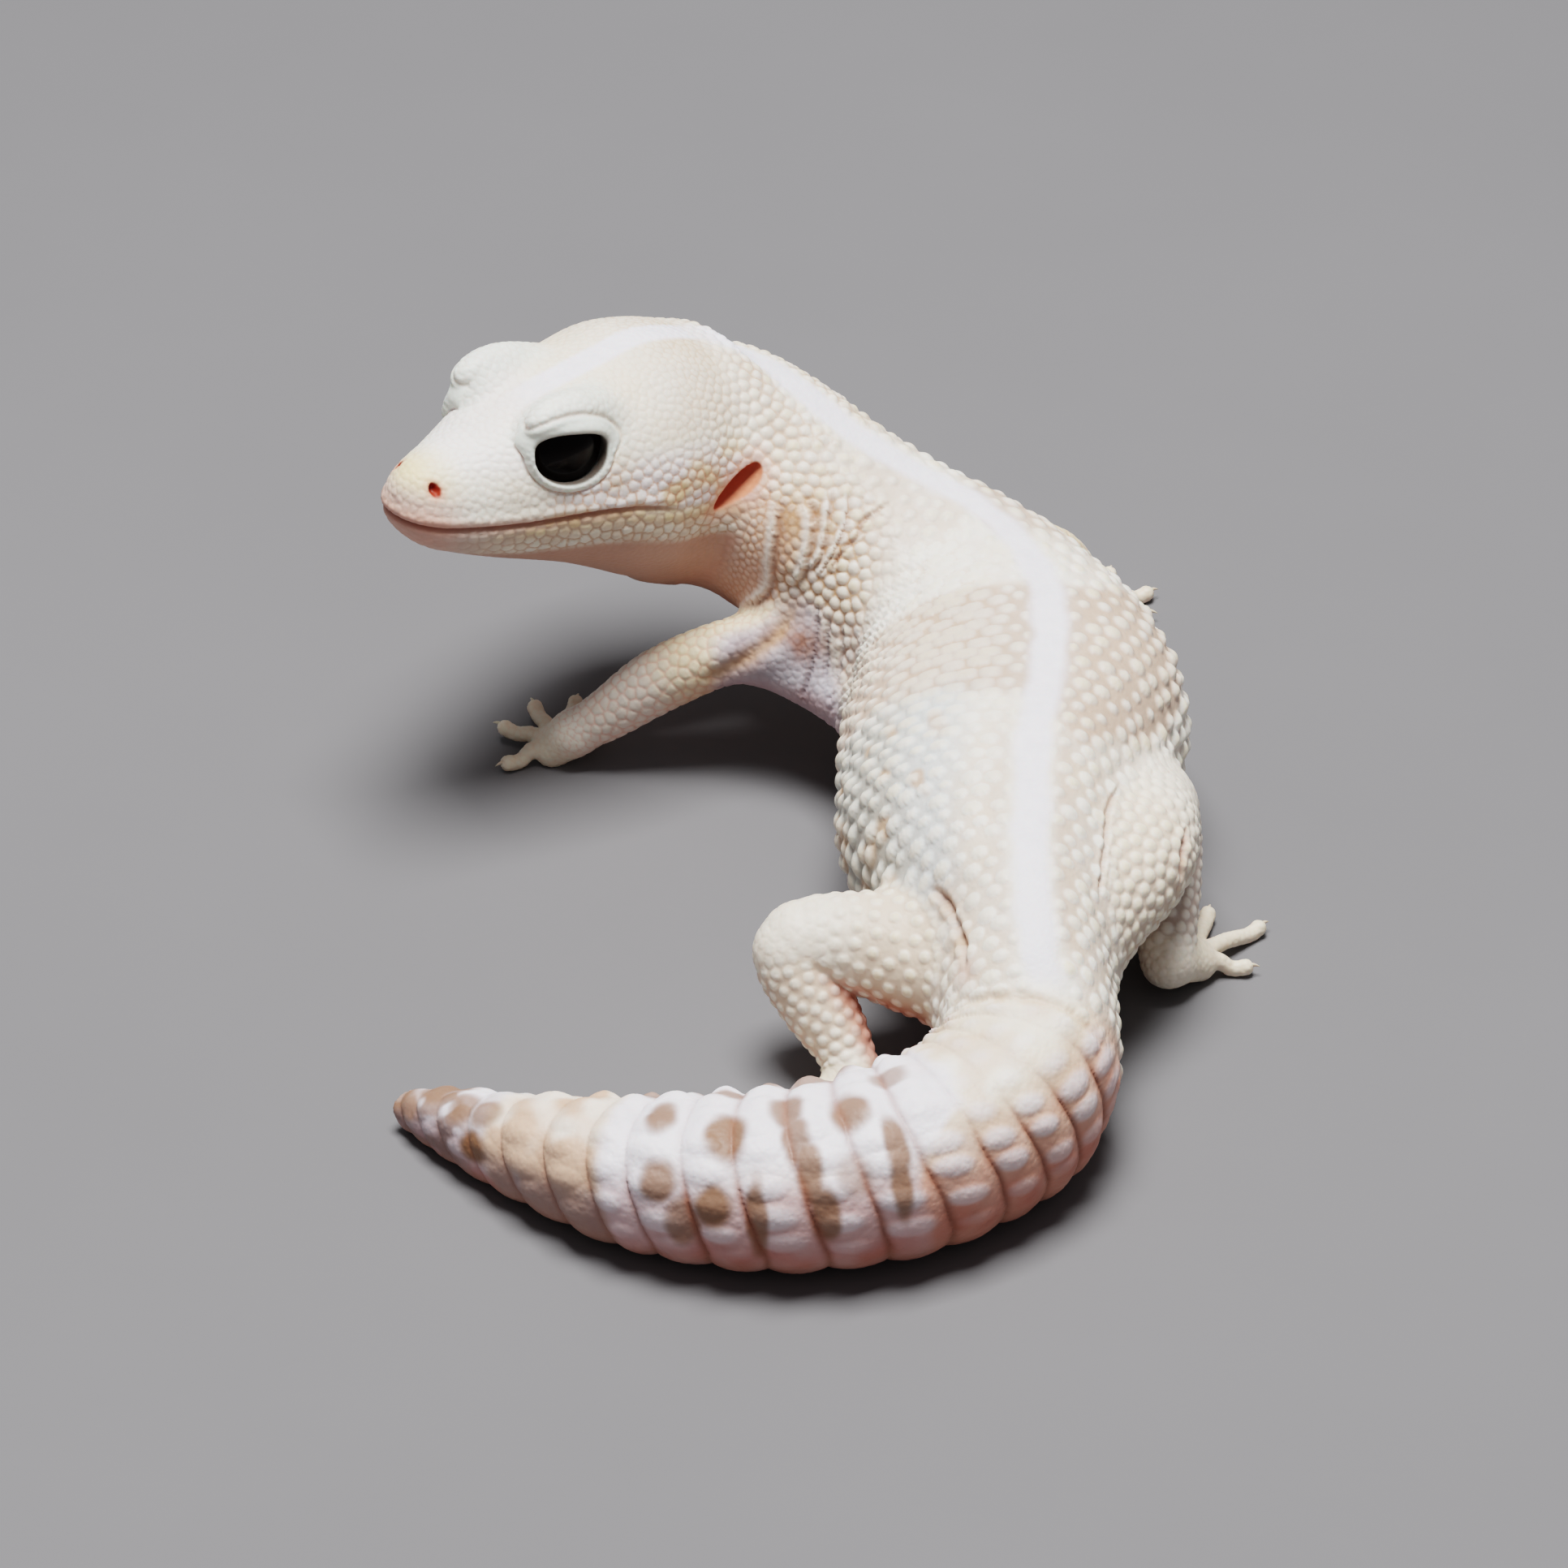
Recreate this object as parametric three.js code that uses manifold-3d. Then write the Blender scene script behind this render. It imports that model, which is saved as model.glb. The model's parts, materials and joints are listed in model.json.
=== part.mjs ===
// A leopard gecko (Eublepharis macularius) as a still, life-size museum model.
// The animal stands on the floor with its trunk pointing along +Y, its head turned
// back over its left shoulder and its ringed tail curled to the left.
// Millimetres, +Z up. The origin is the centre of the footprint, on the floor.
import * as THREE from "three";
import { mergeVertices } from "three/addons/utils/BufferGeometryUtils.js";
import Module from "manifold-3d";

const wasm = await Module();
wasm.setup();

const TAU = 2 * Math.PI;
const rad = THREE.MathUtils.degToRad;
const UP = new THREE.Vector3(0, 0, 1);
const vec = (x, y, z) => new THREE.Vector3(x, y, z);

// ---------------------------------------------------------------- driving sizes
const GAP = 0.3; // clearance between touching pieces
const BODY_SIDES = 32; // vertices round the trunk
const LIMB_SIDES = 12;
const TOE_SIDES = 7;
const HEAD_SIDES = 26;
const EYE_SIDES = { wide: 16, high: 12 };
const LUMP_SIDES = { wide: 12, high: 8 };
// Squareness of a section above and below its widest line, where 2 is an ellipse.
const BODY_SQUARE = { top: 2.15, bottom: 2.4 };
const HEAD_SQUARE_BELOW = 2.2;

// The body from inside the head to the tail tip: the ridge of the back on plan, the
// height of the widest line, the width to the animal's left and right of the ridge,
// and the depth above and below the widest line.
const BODY = [
  { at: "skull", x: -9.0, y: 11.6, z: 21.0, left: 6.0, right: 5.4, up: 5.4, down: 9.6 },
  { at: "nape", x: -5.4, y: 13.2, z: 20.0, left: 7.0, right: 5.3, up: 6.7, down: 10.4 },
  { at: "neck", x: -1.6, y: 12.6, z: 18.4, left: 7.6, right: 5.1, up: 7.1, down: 9.8 },
  { at: "neck root", x: 2.4, y: 10.4, z: 16.4, left: 8.2, right: 5.4, up: 7.0, down: 9.0 },
  { at: "withers", x: 6.6, y: 8.0, z: 14.4, left: 8.4, right: 6.2, up: 7.0, down: 7.4 },
  { at: "shoulder", x: 10.6, y: 5.6, z: 12.6, left: 9.6, right: 7.1, up: 7.7, down: 8.0 },
  { at: "chest", x: 13.9, y: 2.0, z: 11.4, left: 10.8, right: 8.1, up: 8.3, down: 8.6 },
  { at: "ribs", x: 16.0, y: -2.8, z: 10.7, left: 12.0, right: 9.5, up: 8.8, down: 9.4 },
  { at: "waist", x: 17.0, y: -8.4, z: 10.3, left: 13.2, right: 10.0, up: 9.1, down: 9.6 },
  { at: "belly", x: 17.1, y: -14.6, z: 10.0, left: 13.4, right: 8.0, up: 9.2, down: 9.4 },
  { at: "flank", x: 16.7, y: -20.6, z: 9.7, left: 12.9, right: 6.4, up: 9.0, down: 9.0 },
  { at: "groin", x: 16.2, y: -26.4, z: 9.2, left: 9.8, right: 5.8, up: 8.6, down: 8.2 },
  { at: "hip", x: 16.0, y: -31.6, z: 8.6, left: 6.4, right: 5.4, up: 8.0, down: 7.2 },
  { at: "pelvis", x: 16.2, y: -36.0, z: 7.8, left: 6.2, right: 5.2, up: 7.2, down: 6.4 },
  { at: "vent", x: 16.4, y: -39.6, z: 7.0, left: 6.6, right: 5.1, up: 6.2, down: 6.4 },
  { at: "tail root", x: 15.2, y: -43.2, z: 6.4, left: 7.1, right: 5.0, up: 5.9, down: 6.4 },
  { at: "first rings", x: 12.0, y: -46.0, z: 5.9, left: 7.0, right: 5.3, up: 5.6, down: 6.0 },
  { at: "fat of tail", x: 8.2, y: -48.0, z: 5.6, left: 6.9, right: 5.8, up: 5.5, down: 5.8 },
  { at: "fat of tail 2", x: 3.8, y: -49.2, z: 5.4, left: 6.2, right: 6.0, up: 5.4, down: 5.6 },
  { at: "mid tail", x: -0.8, y: -49.6, z: 5.1, left: 5.9, right: 5.8, up: 5.1, down: 5.4 },
  { at: "mid tail 2", x: -5.4, y: -49.0, z: 4.8, left: 5.4, right: 5.3, up: 4.8, down: 5.1 },
  { at: "taper", x: -9.8, y: -47.6, z: 4.3, left: 4.7, right: 4.7, up: 4.3, down: 4.6 },
  { at: "taper 2", x: -14.0, y: -45.3, z: 3.6, left: 3.8, right: 3.8, up: 3.6, down: 3.8 },
  { at: "taper 3", x: -18.2, y: -42.5, z: 2.8, left: 2.8, right: 2.8, up: 2.8, down: 3.0 },
  { at: "near tip", x: -21.9, y: -39.6, z: 2.0, left: 2.0, right: 1.9, up: 2.0, down: 2.1 },
  { at: "tip", x: -24.6, y: -37.4, z: 1.3, left: 1.0, right: 1.0, up: 1.0, down: 1.2 },
];
const stationOf = (name) => BODY.findIndex((station) => station.at === name);

// The ringed part of the tail.
const RINGS = 15;
const RING_STEPS = [0, 0.35, 0.7]; // a groove, then two rows, in shares of a ring
const RING_GROOVE = 0.4;
const TUBERCLE = 0.36; // height of a raised scale on the back
const TAIL_TUBERCLE = 0.36;

// The head: origin midway between the ears, +X to the snout, +Y to the left.
const HEAD_LENGTH = 24.6; // snout tip to ear
const HEAD_AT = vec(-8.2, 12.0, 22.3);
const HEAD_YAW = 41; // turned towards the tail, from -X
const HEAD_PITCH = 12; // snout raised

// Head sections in shares of the head length: place, height of the widest line,
// half width, height above and depth below that line, and squareness.
const HEAD = [
  { x: -0.12, z: -0.035, half: 0.285, up: 0.27, down: 0.445, top: 2.1 },
  { x: -0.04, z: -0.045, half: 0.315, up: 0.3, down: 0.43, top: 2.1 },
  { x: 0.06, z: -0.06, half: 0.335, up: 0.34, down: 0.395, top: 2.1 },
  { x: 0.18, z: -0.075, half: 0.342, up: 0.363, down: 0.34, top: 2.15 },
  { x: 0.3, z: -0.083, half: 0.326, up: 0.341, down: 0.282, top: 2.2 },
  { x: 0.42, z: -0.083, half: 0.29, up: 0.308, down: 0.239, top: 2.35 },
  { x: 0.54, z: -0.088, half: 0.25, up: 0.277, down: 0.204, top: 2.35 },
  { x: 0.66, z: -0.095, half: 0.21, up: 0.228, down: 0.17, top: 2.2 },
  { x: 0.77, z: -0.1, half: 0.17, up: 0.18, down: 0.135, top: 2.0 },
  { x: 0.86, z: -0.098, half: 0.13, up: 0.145, down: 0.107, top: 2.0 },
  { x: 0.915, z: -0.09, half: 0.094, up: 0.112, down: 0.078, top: 2.0 },
  { x: 0.945, z: -0.08, half: 0.057, up: 0.072, down: 0.05, top: 2.0 },
  { x: 0.957, z: -0.07, half: 0.024, up: 0.03, down: 0.022, top: 2.0 },
];

// The line of the mouth: place along the head and height, from the corner forward.
const MOUTH = [
  { x: 0.25, z: -0.075 },
  { x: 0.35, z: -0.064 },
  { x: 0.45, z: -0.07 },
  { x: 0.54, z: -0.083 },
  { x: 0.65, z: -0.098 },
  { x: 0.75, z: -0.106 },
  { x: 0.87, z: -0.113 },
  { x: 1.04, z: -0.106 },
];

// An eye is a ball flattened towards its face, set in lids of one thickness.
const EYE = { out: 2.1, across: 2.9 };
const EYE_AT = [0.522, 0.146, 0.086]; // centre of the ball, in head lengths
const EYE_FORWARD = 16; // where the eye looks, from straight sideways
const EYE_UP = 8;
const LID = 0.6;
const LID_OPENING = { half: 2.65, up: 1.5, down: 2.05, inner: 0.8, outer: 4.8 };
const LID_RIM = { radius: 0.45, flat: 0.7, sides: 6, overlap: 0.12 };
const BROW = { at: [0.51, 0.156, 0.172], half: [3.7, 1.6, 1.8] }; // fold over an eye
const LID_POINTS = 18;

const NOSTRIL = { at: [0.893, 0.087, -0.006], half: [0.5, 0.9, 0.58] };
const EAR = { at: [0.015, 0.325, -0.055], half: [0.75, 1.7, 2.3], lean: 44 };

// Limbs: points along the upper and the lower half, with the radius at each, the
// middle of the sole, and the tips of the claws.
const ARM_LEFT = {
  upper: [
    { p: vec(7.6, 3.6, 10.8), r: 4.4 },
    { p: vec(3.2, 2.6, 10.6), r: 3.6 },
    { p: vec(-1.2, 2.4, 10.1), r: 2.25 },
    { p: vec(-4.4, 2.6, 9.1), r: 2.15 },
  ],
  lower: [
    { p: vec(-5.0, 2.7, 8.8), r: 2.1 },
    { p: vec(-8.6, 2.8, 6.7), r: 2.1 },
    { p: vec(-12.0, 2.6, 4.1), r: 1.7 },
    { p: vec(-14.0, 2.6, 2.6), r: 1.45 },
  ],
  palm: vec(-16.4, 3.4, 1.3),
  toes: [
    vec(-19.6, 1.3, 0.75),
    vec(-19.9, 5.6, 1.3),
    vec(-17.4, 8.4, 1.3),
    vec(-14.2, 9.4, 0.9),
    vec(-11.9, 7.0, 0.8),
  ],
};
const ARM_RIGHT = {
  upper: [
    { p: vec(11.4, 7.0, 12.0), r: 3.4 },
    { p: vec(14.0, 10.0, 11.2), r: 3.0 },
    { p: vec(16.4, 12.6, 10.2), r: 2.4 },
    { p: vec(18.0, 14.6, 8.9), r: 2.3 },
  ],
  lower: [
    { p: vec(18.3, 15.1, 8.5), r: 2.2 },
    { p: vec(19.4, 16.8, 6.4), r: 2.1 },
    { p: vec(20.4, 18.0, 4.2), r: 1.75 },
    { p: vec(21.0, 18.8, 2.7), r: 1.45 },
  ],
  palm: vec(22.0, 20.2, 1.3),
  toes: [
    vec(26.0, 19.5, 0.9),
    vec(26.2, 22.4, 0.9),
    vec(23.2, 25.2, 0.9),
    vec(19.6, 25.0, 0.9),
    vec(17.6, 22.4, 0.8),
  ],
};
const LEG_LEFT = {
  upper: [
    { p: vec(14.0, -31.8, 7.8), r: 3.9 },
    { p: vec(9.8, -30.8, 8.2), r: 3.9 },
    { p: vec(5.4, -29.8, 8.8), r: 3.4 },
    { p: vec(1.2, -29.9, 9.0), r: 2.9 },
  ],
  lower: [
    { p: vec(0.6, -30.2, 8.4), r: 2.8 },
    { p: vec(1.9, -31.8, 6.2), r: 2.5 },
    { p: vec(3.6, -33.6, 4.0), r: 2.0 },
    { p: vec(4.8, -35.2, 2.5), r: 1.55 },
  ],
  palm: vec(2.8, -37.6, 1.4),
  toes: [
    vec(4.4, -41.6, 0.8),
    vec(-0.6, -41.8, 0.8),
    vec(-3.4, -40.0, 0.8),
    vec(-3.8, -37.2, 0.8),
    vec(-1.0, -35.0, 0.8),
  ],
};
const LEG_RIGHT = {
  upper: [
    { p: vec(17.4, -31.6, 9.0), r: 3.2 },
    { p: vec(20.2, -28.0, 10.4), r: 3.7 },
    { p: vec(22.9, -23.0, 11.0), r: 4.0 },
    { p: vec(24.2, -16.6, 10.6), r: 3.4 },
  ],
  lower: [
    { p: vec(24.7, -15.4, 8.8), r: 2.8 },
    { p: vec(25.2, -18.0, 6.2), r: 2.5 },
    { p: vec(25.3, -21.4, 3.9), r: 2.0 },
    { p: vec(25.2, -23.6, 2.6), r: 1.6 },
  ],
  palm: vec(27.0, -21.4, 1.5),
  toes: [
    vec(31.3, -21.6, 0.8),
    vec(32.3, -16.7, 0.8),
    vec(28.6, -15.0, 0.9),
    vec(25.0, -16.2, 0.8),
    vec(23.4, -19.4, 0.8),
  ],
};
const TOE_RADIUS = 0.66;
// Rings of a toe, from its root to the tip of the claw: share of the way, and width.
const TOE = [
  { share: 0, wide: 1.25 },
  { share: 0.22, wide: 1.1 },
  { share: 0.45, wide: 1.0 },
  { share: 0.66, wide: 1.02 },
  { share: 0.8, wide: 0.8 },
  { share: 0.88, wide: 0.42 },
  { share: 1, wide: 0.18 },
];
const CLAW = { length: 0.8, drop: 0.45, low: 0.15 };
// Rings of a hand or foot, from the wrist to the roots of the toes.
const SOLE = [
  { share: 0, half: 1.45, above: 1.4, below: 1.4 },
  { share: 0.35, half: 1.9, above: 1.2, below: 1.5 },
  { share: 0.7, half: 2.0, above: 0.95, below: 1.5 },
  { share: 1, half: 1.1, above: 0.6, below: 1.5 },
];
const LIMB_RINGS = 6;
// The round end of a limb: how far out a ring lies and how wide it is, in radii.
const ROUND_END = [[0.5, 0.86], [0.86, 0.5]];

// ---------------------------------------------------------------- solids
function toSolid(geometry) {
  const bare = geometry.clone();
  bare.deleteAttribute("normal");
  bare.deleteAttribute("uv");
  const merged = mergeVertices(bare, 1e-4);
  return new wasm.Manifold(
    new wasm.Mesh({
      numProp: 3,
      vertProperties: merged.attributes.position.array,
      triVerts: new Uint32Array(merged.index.array),
    }),
  );
}

function toGeometry(solid) {
  const mesh = solid.getMesh();
  return new THREE.BufferGeometry()
    .setAttribute("position", new THREE.BufferAttribute(mesh.vertProperties, 3))
    .setIndex(new THREE.BufferAttribute(mesh.triVerts, 1));
}

// A closed body through rings of points, with a fan over each end.
function loft(rings) {
  const sides = rings[0].length;
  const middle = (ring) =>
    ring.reduce((sum, p) => sum.add(p), vec(0, 0, 0)).divideScalar(sides);
  const points = [middle(rings[0]), ...rings.flat(), middle(rings.at(-1))];
  const last = points.length - 1;
  const at = (i, j) => 1 + i * sides + (j % sides);
  const faces = [];
  for (let j = 0; j < sides; j++) {
    faces.push(0, at(0, j + 1), at(0, j));
    faces.push(last, at(rings.length - 1, j), at(rings.length - 1, j + 1));
    for (let i = 0; i + 1 < rings.length; i++) {
      faces.push(at(i, j), at(i, j + 1), at(i + 1, j + 1));
      faces.push(at(i, j), at(i + 1, j + 1), at(i + 1, j));
    }
  }
  return toSolid(
    new THREE.BufferGeometry().setFromPoints(points).setIndex(faces),
  );
}

const power = (value, exponent) => Math.sign(value) * Math.abs(value) ** exponent;

// A ring round a centre, from sizes { left, right, above, below, top, bottom }. What
// would pass below the floor is laid flat on it. lift raises single points.
function section({ centre, side, up, sides, size, lift, floor = 0 }) {
  return Array.from({ length: sides }, (_, j) => {
    const angle = (TAU * j) / sides;
    const upper = Math.sin(angle) >= 0;
    const square = 2 / ((upper ? size.top : size.bottom) ?? 2);
    const wide = power(Math.cos(angle), square);
    const outward = wide * (wide > 0 ? size.right : size.left);
    const high = power(Math.sin(angle), square) * (upper ? size.above : size.below);
    const swell = lift ? 1 + lift(angle) / Math.hypot(outward, high) : 1;
    const point = centre.clone();
    point.addScaledVector(side, outward * swell).addScaledVector(up, high * swell);
    point.z = Math.max(point.z, floor);
    return point;
  });
}

// The sideways and upward directions of a ring that travels along a direction.
function across(travel) {
  const side = UP.clone().cross(travel).normalize();
  return { side, up: travel.clone().cross(side).normalize() };
}

// Smooth curve through the values of one column of a table.
function column(rows, key) {
  const curve = new THREE.SplineCurve(
    rows.map((row, i) => new THREE.Vector2(i, row[key])),
  );
  return (index) => curve.getPoint(index / (rows.length - 1)).y;
}

// ---------------------------------------------------------------- body and tail
const bodyColumns = Object.fromEntries(
  ["x", "y", "z", "left", "right", "up", "down"].map((key) => [key, column(BODY, key)]),
);
const bodyCentre = (index) =>
  vec(bodyColumns.x(index), bodyColumns.y(index), bodyColumns.z(index));

// The reach, in stations, spreads a sharp turn so that sections never cross.
const FRAME_REACH = 0.8;
function bodyFrame(index) {
  const end = BODY.length - 1;
  const ahead = bodyCentre(Math.min(index + FRAME_REACH, end));
  return across(ahead.sub(bodyCentre(Math.max(index - FRAME_REACH, 0))));
}

function bodySection(index, { grow = 0, lift } = {}) {
  return section({
    centre: bodyCentre(index),
    ...bodyFrame(index),
    size: {
      left: bodyColumns.left(index) + grow,
      right: bodyColumns.right(index) + grow,
      above: bodyColumns.up(index) + grow,
      below: bodyColumns.down(index) + grow,
      ...BODY_SQUARE,
    },
    sides: BODY_SIDES,
    lift,
  });
}

// Raised scales stand on every other vertex of the back, in a checked pattern.
const backTubercles = (row) => (angle) => {
  const place = Math.round((angle / TAU) * BODY_SIDES);
  const onBack = Math.sin(angle) > -0.05 && Math.abs(Math.cos(angle)) > 0.12;
  return onBack && (place + row) % 2 === 0 ? TUBERCLE : 0;
};

// A ring of the tail bulges between two grooves and carries a row of tubercles.
function tailRelief(phase, ring) {
  const groove = phase === 0 ? -RING_GROOVE : 0;
  return (angle) => {
    const place = Math.round((angle / TAU) * BODY_SIDES);
    const dorsal = Math.sin(angle) > 0.1;
    const bump = dorsal && phase > 0 && (place + ring + Math.round(2 * phase)) % 2 === 0;
    return groove + (bump ? TAIL_TUBERCLE : 0);
  };
}

// Rows of sections between two stations: [index, relief] pairs, head to tail.
const FIRST_RING = stationOf("vent") + 0.9;
const LAST_RING = BODY.length - 1.25;
const ringPitch = (LAST_RING - FIRST_RING) / RINGS;
const TRUNK_STEP = 0.27;

function bodyRows(from, to) {
  const rows = [];
  const trunkEnd = Math.min(to, FIRST_RING);
  const count = Math.max(1, Math.round((trunkEnd - from) / TRUNK_STEP));
  for (let i = 0; i <= count && from < FIRST_RING; i++) {
    const index = from + ((trunkEnd - from) * i) / count;
    const smooth = i === 0 || i === count;
    rows.push({ index, lift: smooth ? undefined : backTubercles(i) });
  }
  for (let ring = 0; ring < RINGS; ring++)
    for (const phase of RING_STEPS) {
      const index = FIRST_RING + (ring + phase) * ringPitch;
      if (index > Math.max(from, FIRST_RING) + 0.02 && index < to - 0.02)
        rows.push({ index, lift: tailRelief(phase, ring) });
    }
  if (from >= FIRST_RING) rows.unshift({ index: from, lift: tailRelief(0, 0) });
  if (to > FIRST_RING) {
    const tip = to >= BODY.length - 1;
    rows.push({ index: to, lift: tip ? undefined : tailRelief(0, 0) });
  }
  return rows;
}

const bodyPiece = (from, to) =>
  loft(bodyRows(from, to).map(({ index, lift }) => bodySection(index, { lift })));

// The whole body a little fatter, for cutting what stands against it.
const bodyGrown = loft(
  Array.from({ length: 2 * BODY.length - 1 }, (_, i) =>
    bodySection(i / 2, { grow: GAP + TUBERCLE * 0.5 }),
  ),
);

// ---------------------------------------------------------------- head
const headColumns = Object.fromEntries(
  ["x", "z", "half", "up", "down", "top"].map((key) => [key, column(HEAD, key)]),
);
const headTurn = new THREE.Matrix4()
  .makeTranslation(HEAD_AT)
  .multiply(new THREE.Matrix4().makeRotationZ(rad(180 + HEAD_YAW)))
  .multiply(new THREE.Matrix4().makeRotationY(rad(-HEAD_PITCH)));
const inHead = ([x, y, z]) => vec(x, y, z).multiplyScalar(HEAD_LENGTH);

// The head in its own frame, with a number of rings to each row of the table.
function headLoft(grow = 0, steps = 2) {
  const rings = Array.from({ length: (HEAD.length - 1) * steps + 1 }, (_, i) => {
    const k = i / steps;
    const centre = inHead([headColumns.x(k), 0, headColumns.z(k)]);
    if (i === 0) centre.x -= 2 * grow;
    const half = headColumns.half(k) * HEAD_LENGTH + grow;
    const size = {
      left: half,
      right: half,
      above: headColumns.up(k) * HEAD_LENGTH + grow,
      below: headColumns.down(k) * HEAD_LENGTH + grow,
      top: headColumns.top(k),
      bottom: HEAD_SQUARE_BELOW,
    };
    return section({ centre, side: vec(0, 1, 0), up: UP, sides: HEAD_SIDES, size, floor: -Infinity });
  });
  return loft(rings);
}

const ball = ({ wide, high }) => new THREE.SphereGeometry(1, wide, high);
const lump = (half) => ball(LUMP_SIDES).scale(...half);

// The eyeball in its own frame, thicker by a margin, with its pole to the front.
const eyeball = (margin) =>
  ball(EYE_SIDES)
    .rotateZ(-Math.PI / 2)
    .scale(EYE.out + margin, EYE.across + margin, EYE.across + margin);

function placed(geometry, ...matrices) {
  const all = matrices.reduce((m, next) => m.multiply(next), new THREE.Matrix4());
  return toSolid(geometry.clone().applyMatrix4(all));
}

// The frame of an eye: +X looks out of the eye, +Z up.
function eyeMatrix(side) {
  const [x, y, z] = EYE_AT;
  const out = vec(
    Math.sin(rad(EYE_FORWARD)),
    side * Math.cos(rad(EYE_FORWARD)),
    Math.sin(rad(EYE_UP)),
  ).normalize();
  const level = UP.clone().cross(out).normalize();
  return new THREE.Matrix4()
    .makeBasis(out, level, out.clone().cross(level))
    .setPosition(inHead([x, side * y, z]));
}

// The D of the open lids: straight above, round below.
function lidOutline(grow = 0) {
  const { half, up, down } = LID_OPENING;
  return Array.from({ length: LID_POINTS }, (_, i) => {
    const angle = (TAU * i) / LID_POINTS;
    const upper = Math.sin(angle) > 0;
    const wide = power(Math.cos(angle), upper ? 0.75 : 1) * (half + grow);
    const high = power(Math.sin(angle), upper ? 0.8 : 1) * ((upper ? up : down) + grow);
    return new THREE.Vector2(wide, high);
  });
}

function lidOpening() {
  const shape = new THREE.Shape(lidOutline());
  const { inner, outer } = LID_OPENING;
  const prism = new THREE.ExtrudeGeometry(shape, { depth: outer - inner, bevelEnabled: false });
  // The prism runs along the eye's +X, with its outline in the eye's YZ plane.
  const turn = new THREE.Matrix4().makeBasis(vec(0, 1, 0), UP, vec(1, 0, 0));
  return prism.applyMatrix4(turn.setPosition(inner, 0, 0));
}

// How far out of the eye a shell round the ball lies, at a place on its face.
function shellDepth({ x, y }, margin) {
  const share = Math.hypot(x, y) / (EYE.across + margin);
  return (EYE.out + margin) * Math.sqrt(Math.max(1 - share ** 2, 0.05));
}

function lidRim() {
  const { radius, flat, sides, overlap } = LID_RIM;
  const path = lidOutline(radius - overlap).map((p) => vec(shellDepth(p, LID), p.x, p.y));
  const rings = path.map((p, i) => {
    const along = path[(i + 1) % path.length].clone().sub(path.at(i - 1)).normalize();
    const out = p.clone().normalize();
    const wide = along.clone().cross(out).normalize();
    return Array.from({ length: sides }, (_, j) => {
      const angle = (TAU * j) / sides;
      return p
        .clone()
        .addScaledVector(out, Math.sin(angle) * radius * flat)
        .addScaledVector(wide, Math.cos(angle) * radius);
    });
  });
  return closedTube(rings);
}

// A tube whose last ring joins its first.
function closedTube(rings) {
  const sides = rings[0].length;
  const faces = [];
  rings.forEach((_, i) => {
    for (let j = 0; j < sides; j++) {
      const a = i * sides + j;
      const b = i * sides + ((j + 1) % sides);
      const c = ((i + 1) % rings.length) * sides + ((j + 1) % sides);
      const d = ((i + 1) % rings.length) * sides + j;
      faces.push(a, c, b, a, d, c);
    }
  });
  return new THREE.BufferGeometry().setFromPoints(rings.flat()).setIndex(faces);
}

// A bent plate that follows the line of the mouth, as wide as the head.
function mouthCutter() {
  const high = new THREE.SplineCurve(
    MOUTH.map((p) => new THREE.Vector2(p.x * HEAD_LENGTH, p.z * HEAD_LENGTH)),
  ).getPoints(10);
  const edge = GAP / 2;
  const outline = [
    ...high.map((p) => new THREE.Vector2(p.x, p.y + edge)),
    ...high.map((p) => new THREE.Vector2(p.x, p.y - edge)).reverse(),
  ];
  const width = HEAD_LENGTH;
  const plate = new THREE.ExtrudeGeometry(new THREE.Shape(outline), {
    depth: width,
    bevelEnabled: false,
  });
  return toSolid(plate.rotateX(Math.PI / 2).translate(0, width / 2, 0));
}

// The jaw ends behind the corners of the mouth at a slanting cut.
const JAW_CUT = { depth: 12, slant: 18 };
function jawCutter() {
  const { x, z } = MOUTH[0];
  const { depth, slant } = JAW_CUT;
  const slit = new THREE.BoxGeometry(GAP, HEAD_LENGTH, depth).translate(0, 0, -depth / 2);
  slit.rotateY(rad(-slant)).translate(x * HEAD_LENGTH, 0, z * HEAD_LENGTH + GAP / 2);
  return toSolid(slit);
}

function headPieces() {
  let head = headLoft();
  const spot = (side, [x, y, z]) =>
    new THREE.Matrix4().makeTranslation(inHead([x, side * y, z]));
  for (const side of [1, -1]) {
    head = head.add(placed(eyeball(LID), eyeMatrix(side)));
    head = head.add(placed(lump(BROW.half), spot(side, BROW.at)));
  }
  for (const side of [1, -1]) {
    const eye = eyeMatrix(side);
    const lean = new THREE.Matrix4().makeRotationY(rad(-EAR.lean));
    head = head
      .add(placed(lidRim(), eye))
      .subtract(placed(eyeball(GAP), eye))
      .subtract(placed(lidOpening(), eye))
      .subtract(placed(lump(NOSTRIL.half), spot(side, NOSTRIL.at)))
      .subtract(placed(lump(EAR.half), spot(side, EAR.at), lean));
  }
  const parts = head
    .subtract(mouthCutter())
    .subtract(jawCutter())
    .decompose()
    .sort((a, b) => b.volume() - a.volume());
  return { head: parts[0], jaw: parts[1] };
}

// ---------------------------------------------------------------- limbs
function limbRing(centre, travel, radius, sides) {
  const size = { left: radius, right: radius, above: radius, below: radius };
  return section({ centre, ...across(travel), size, sides });
}

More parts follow.
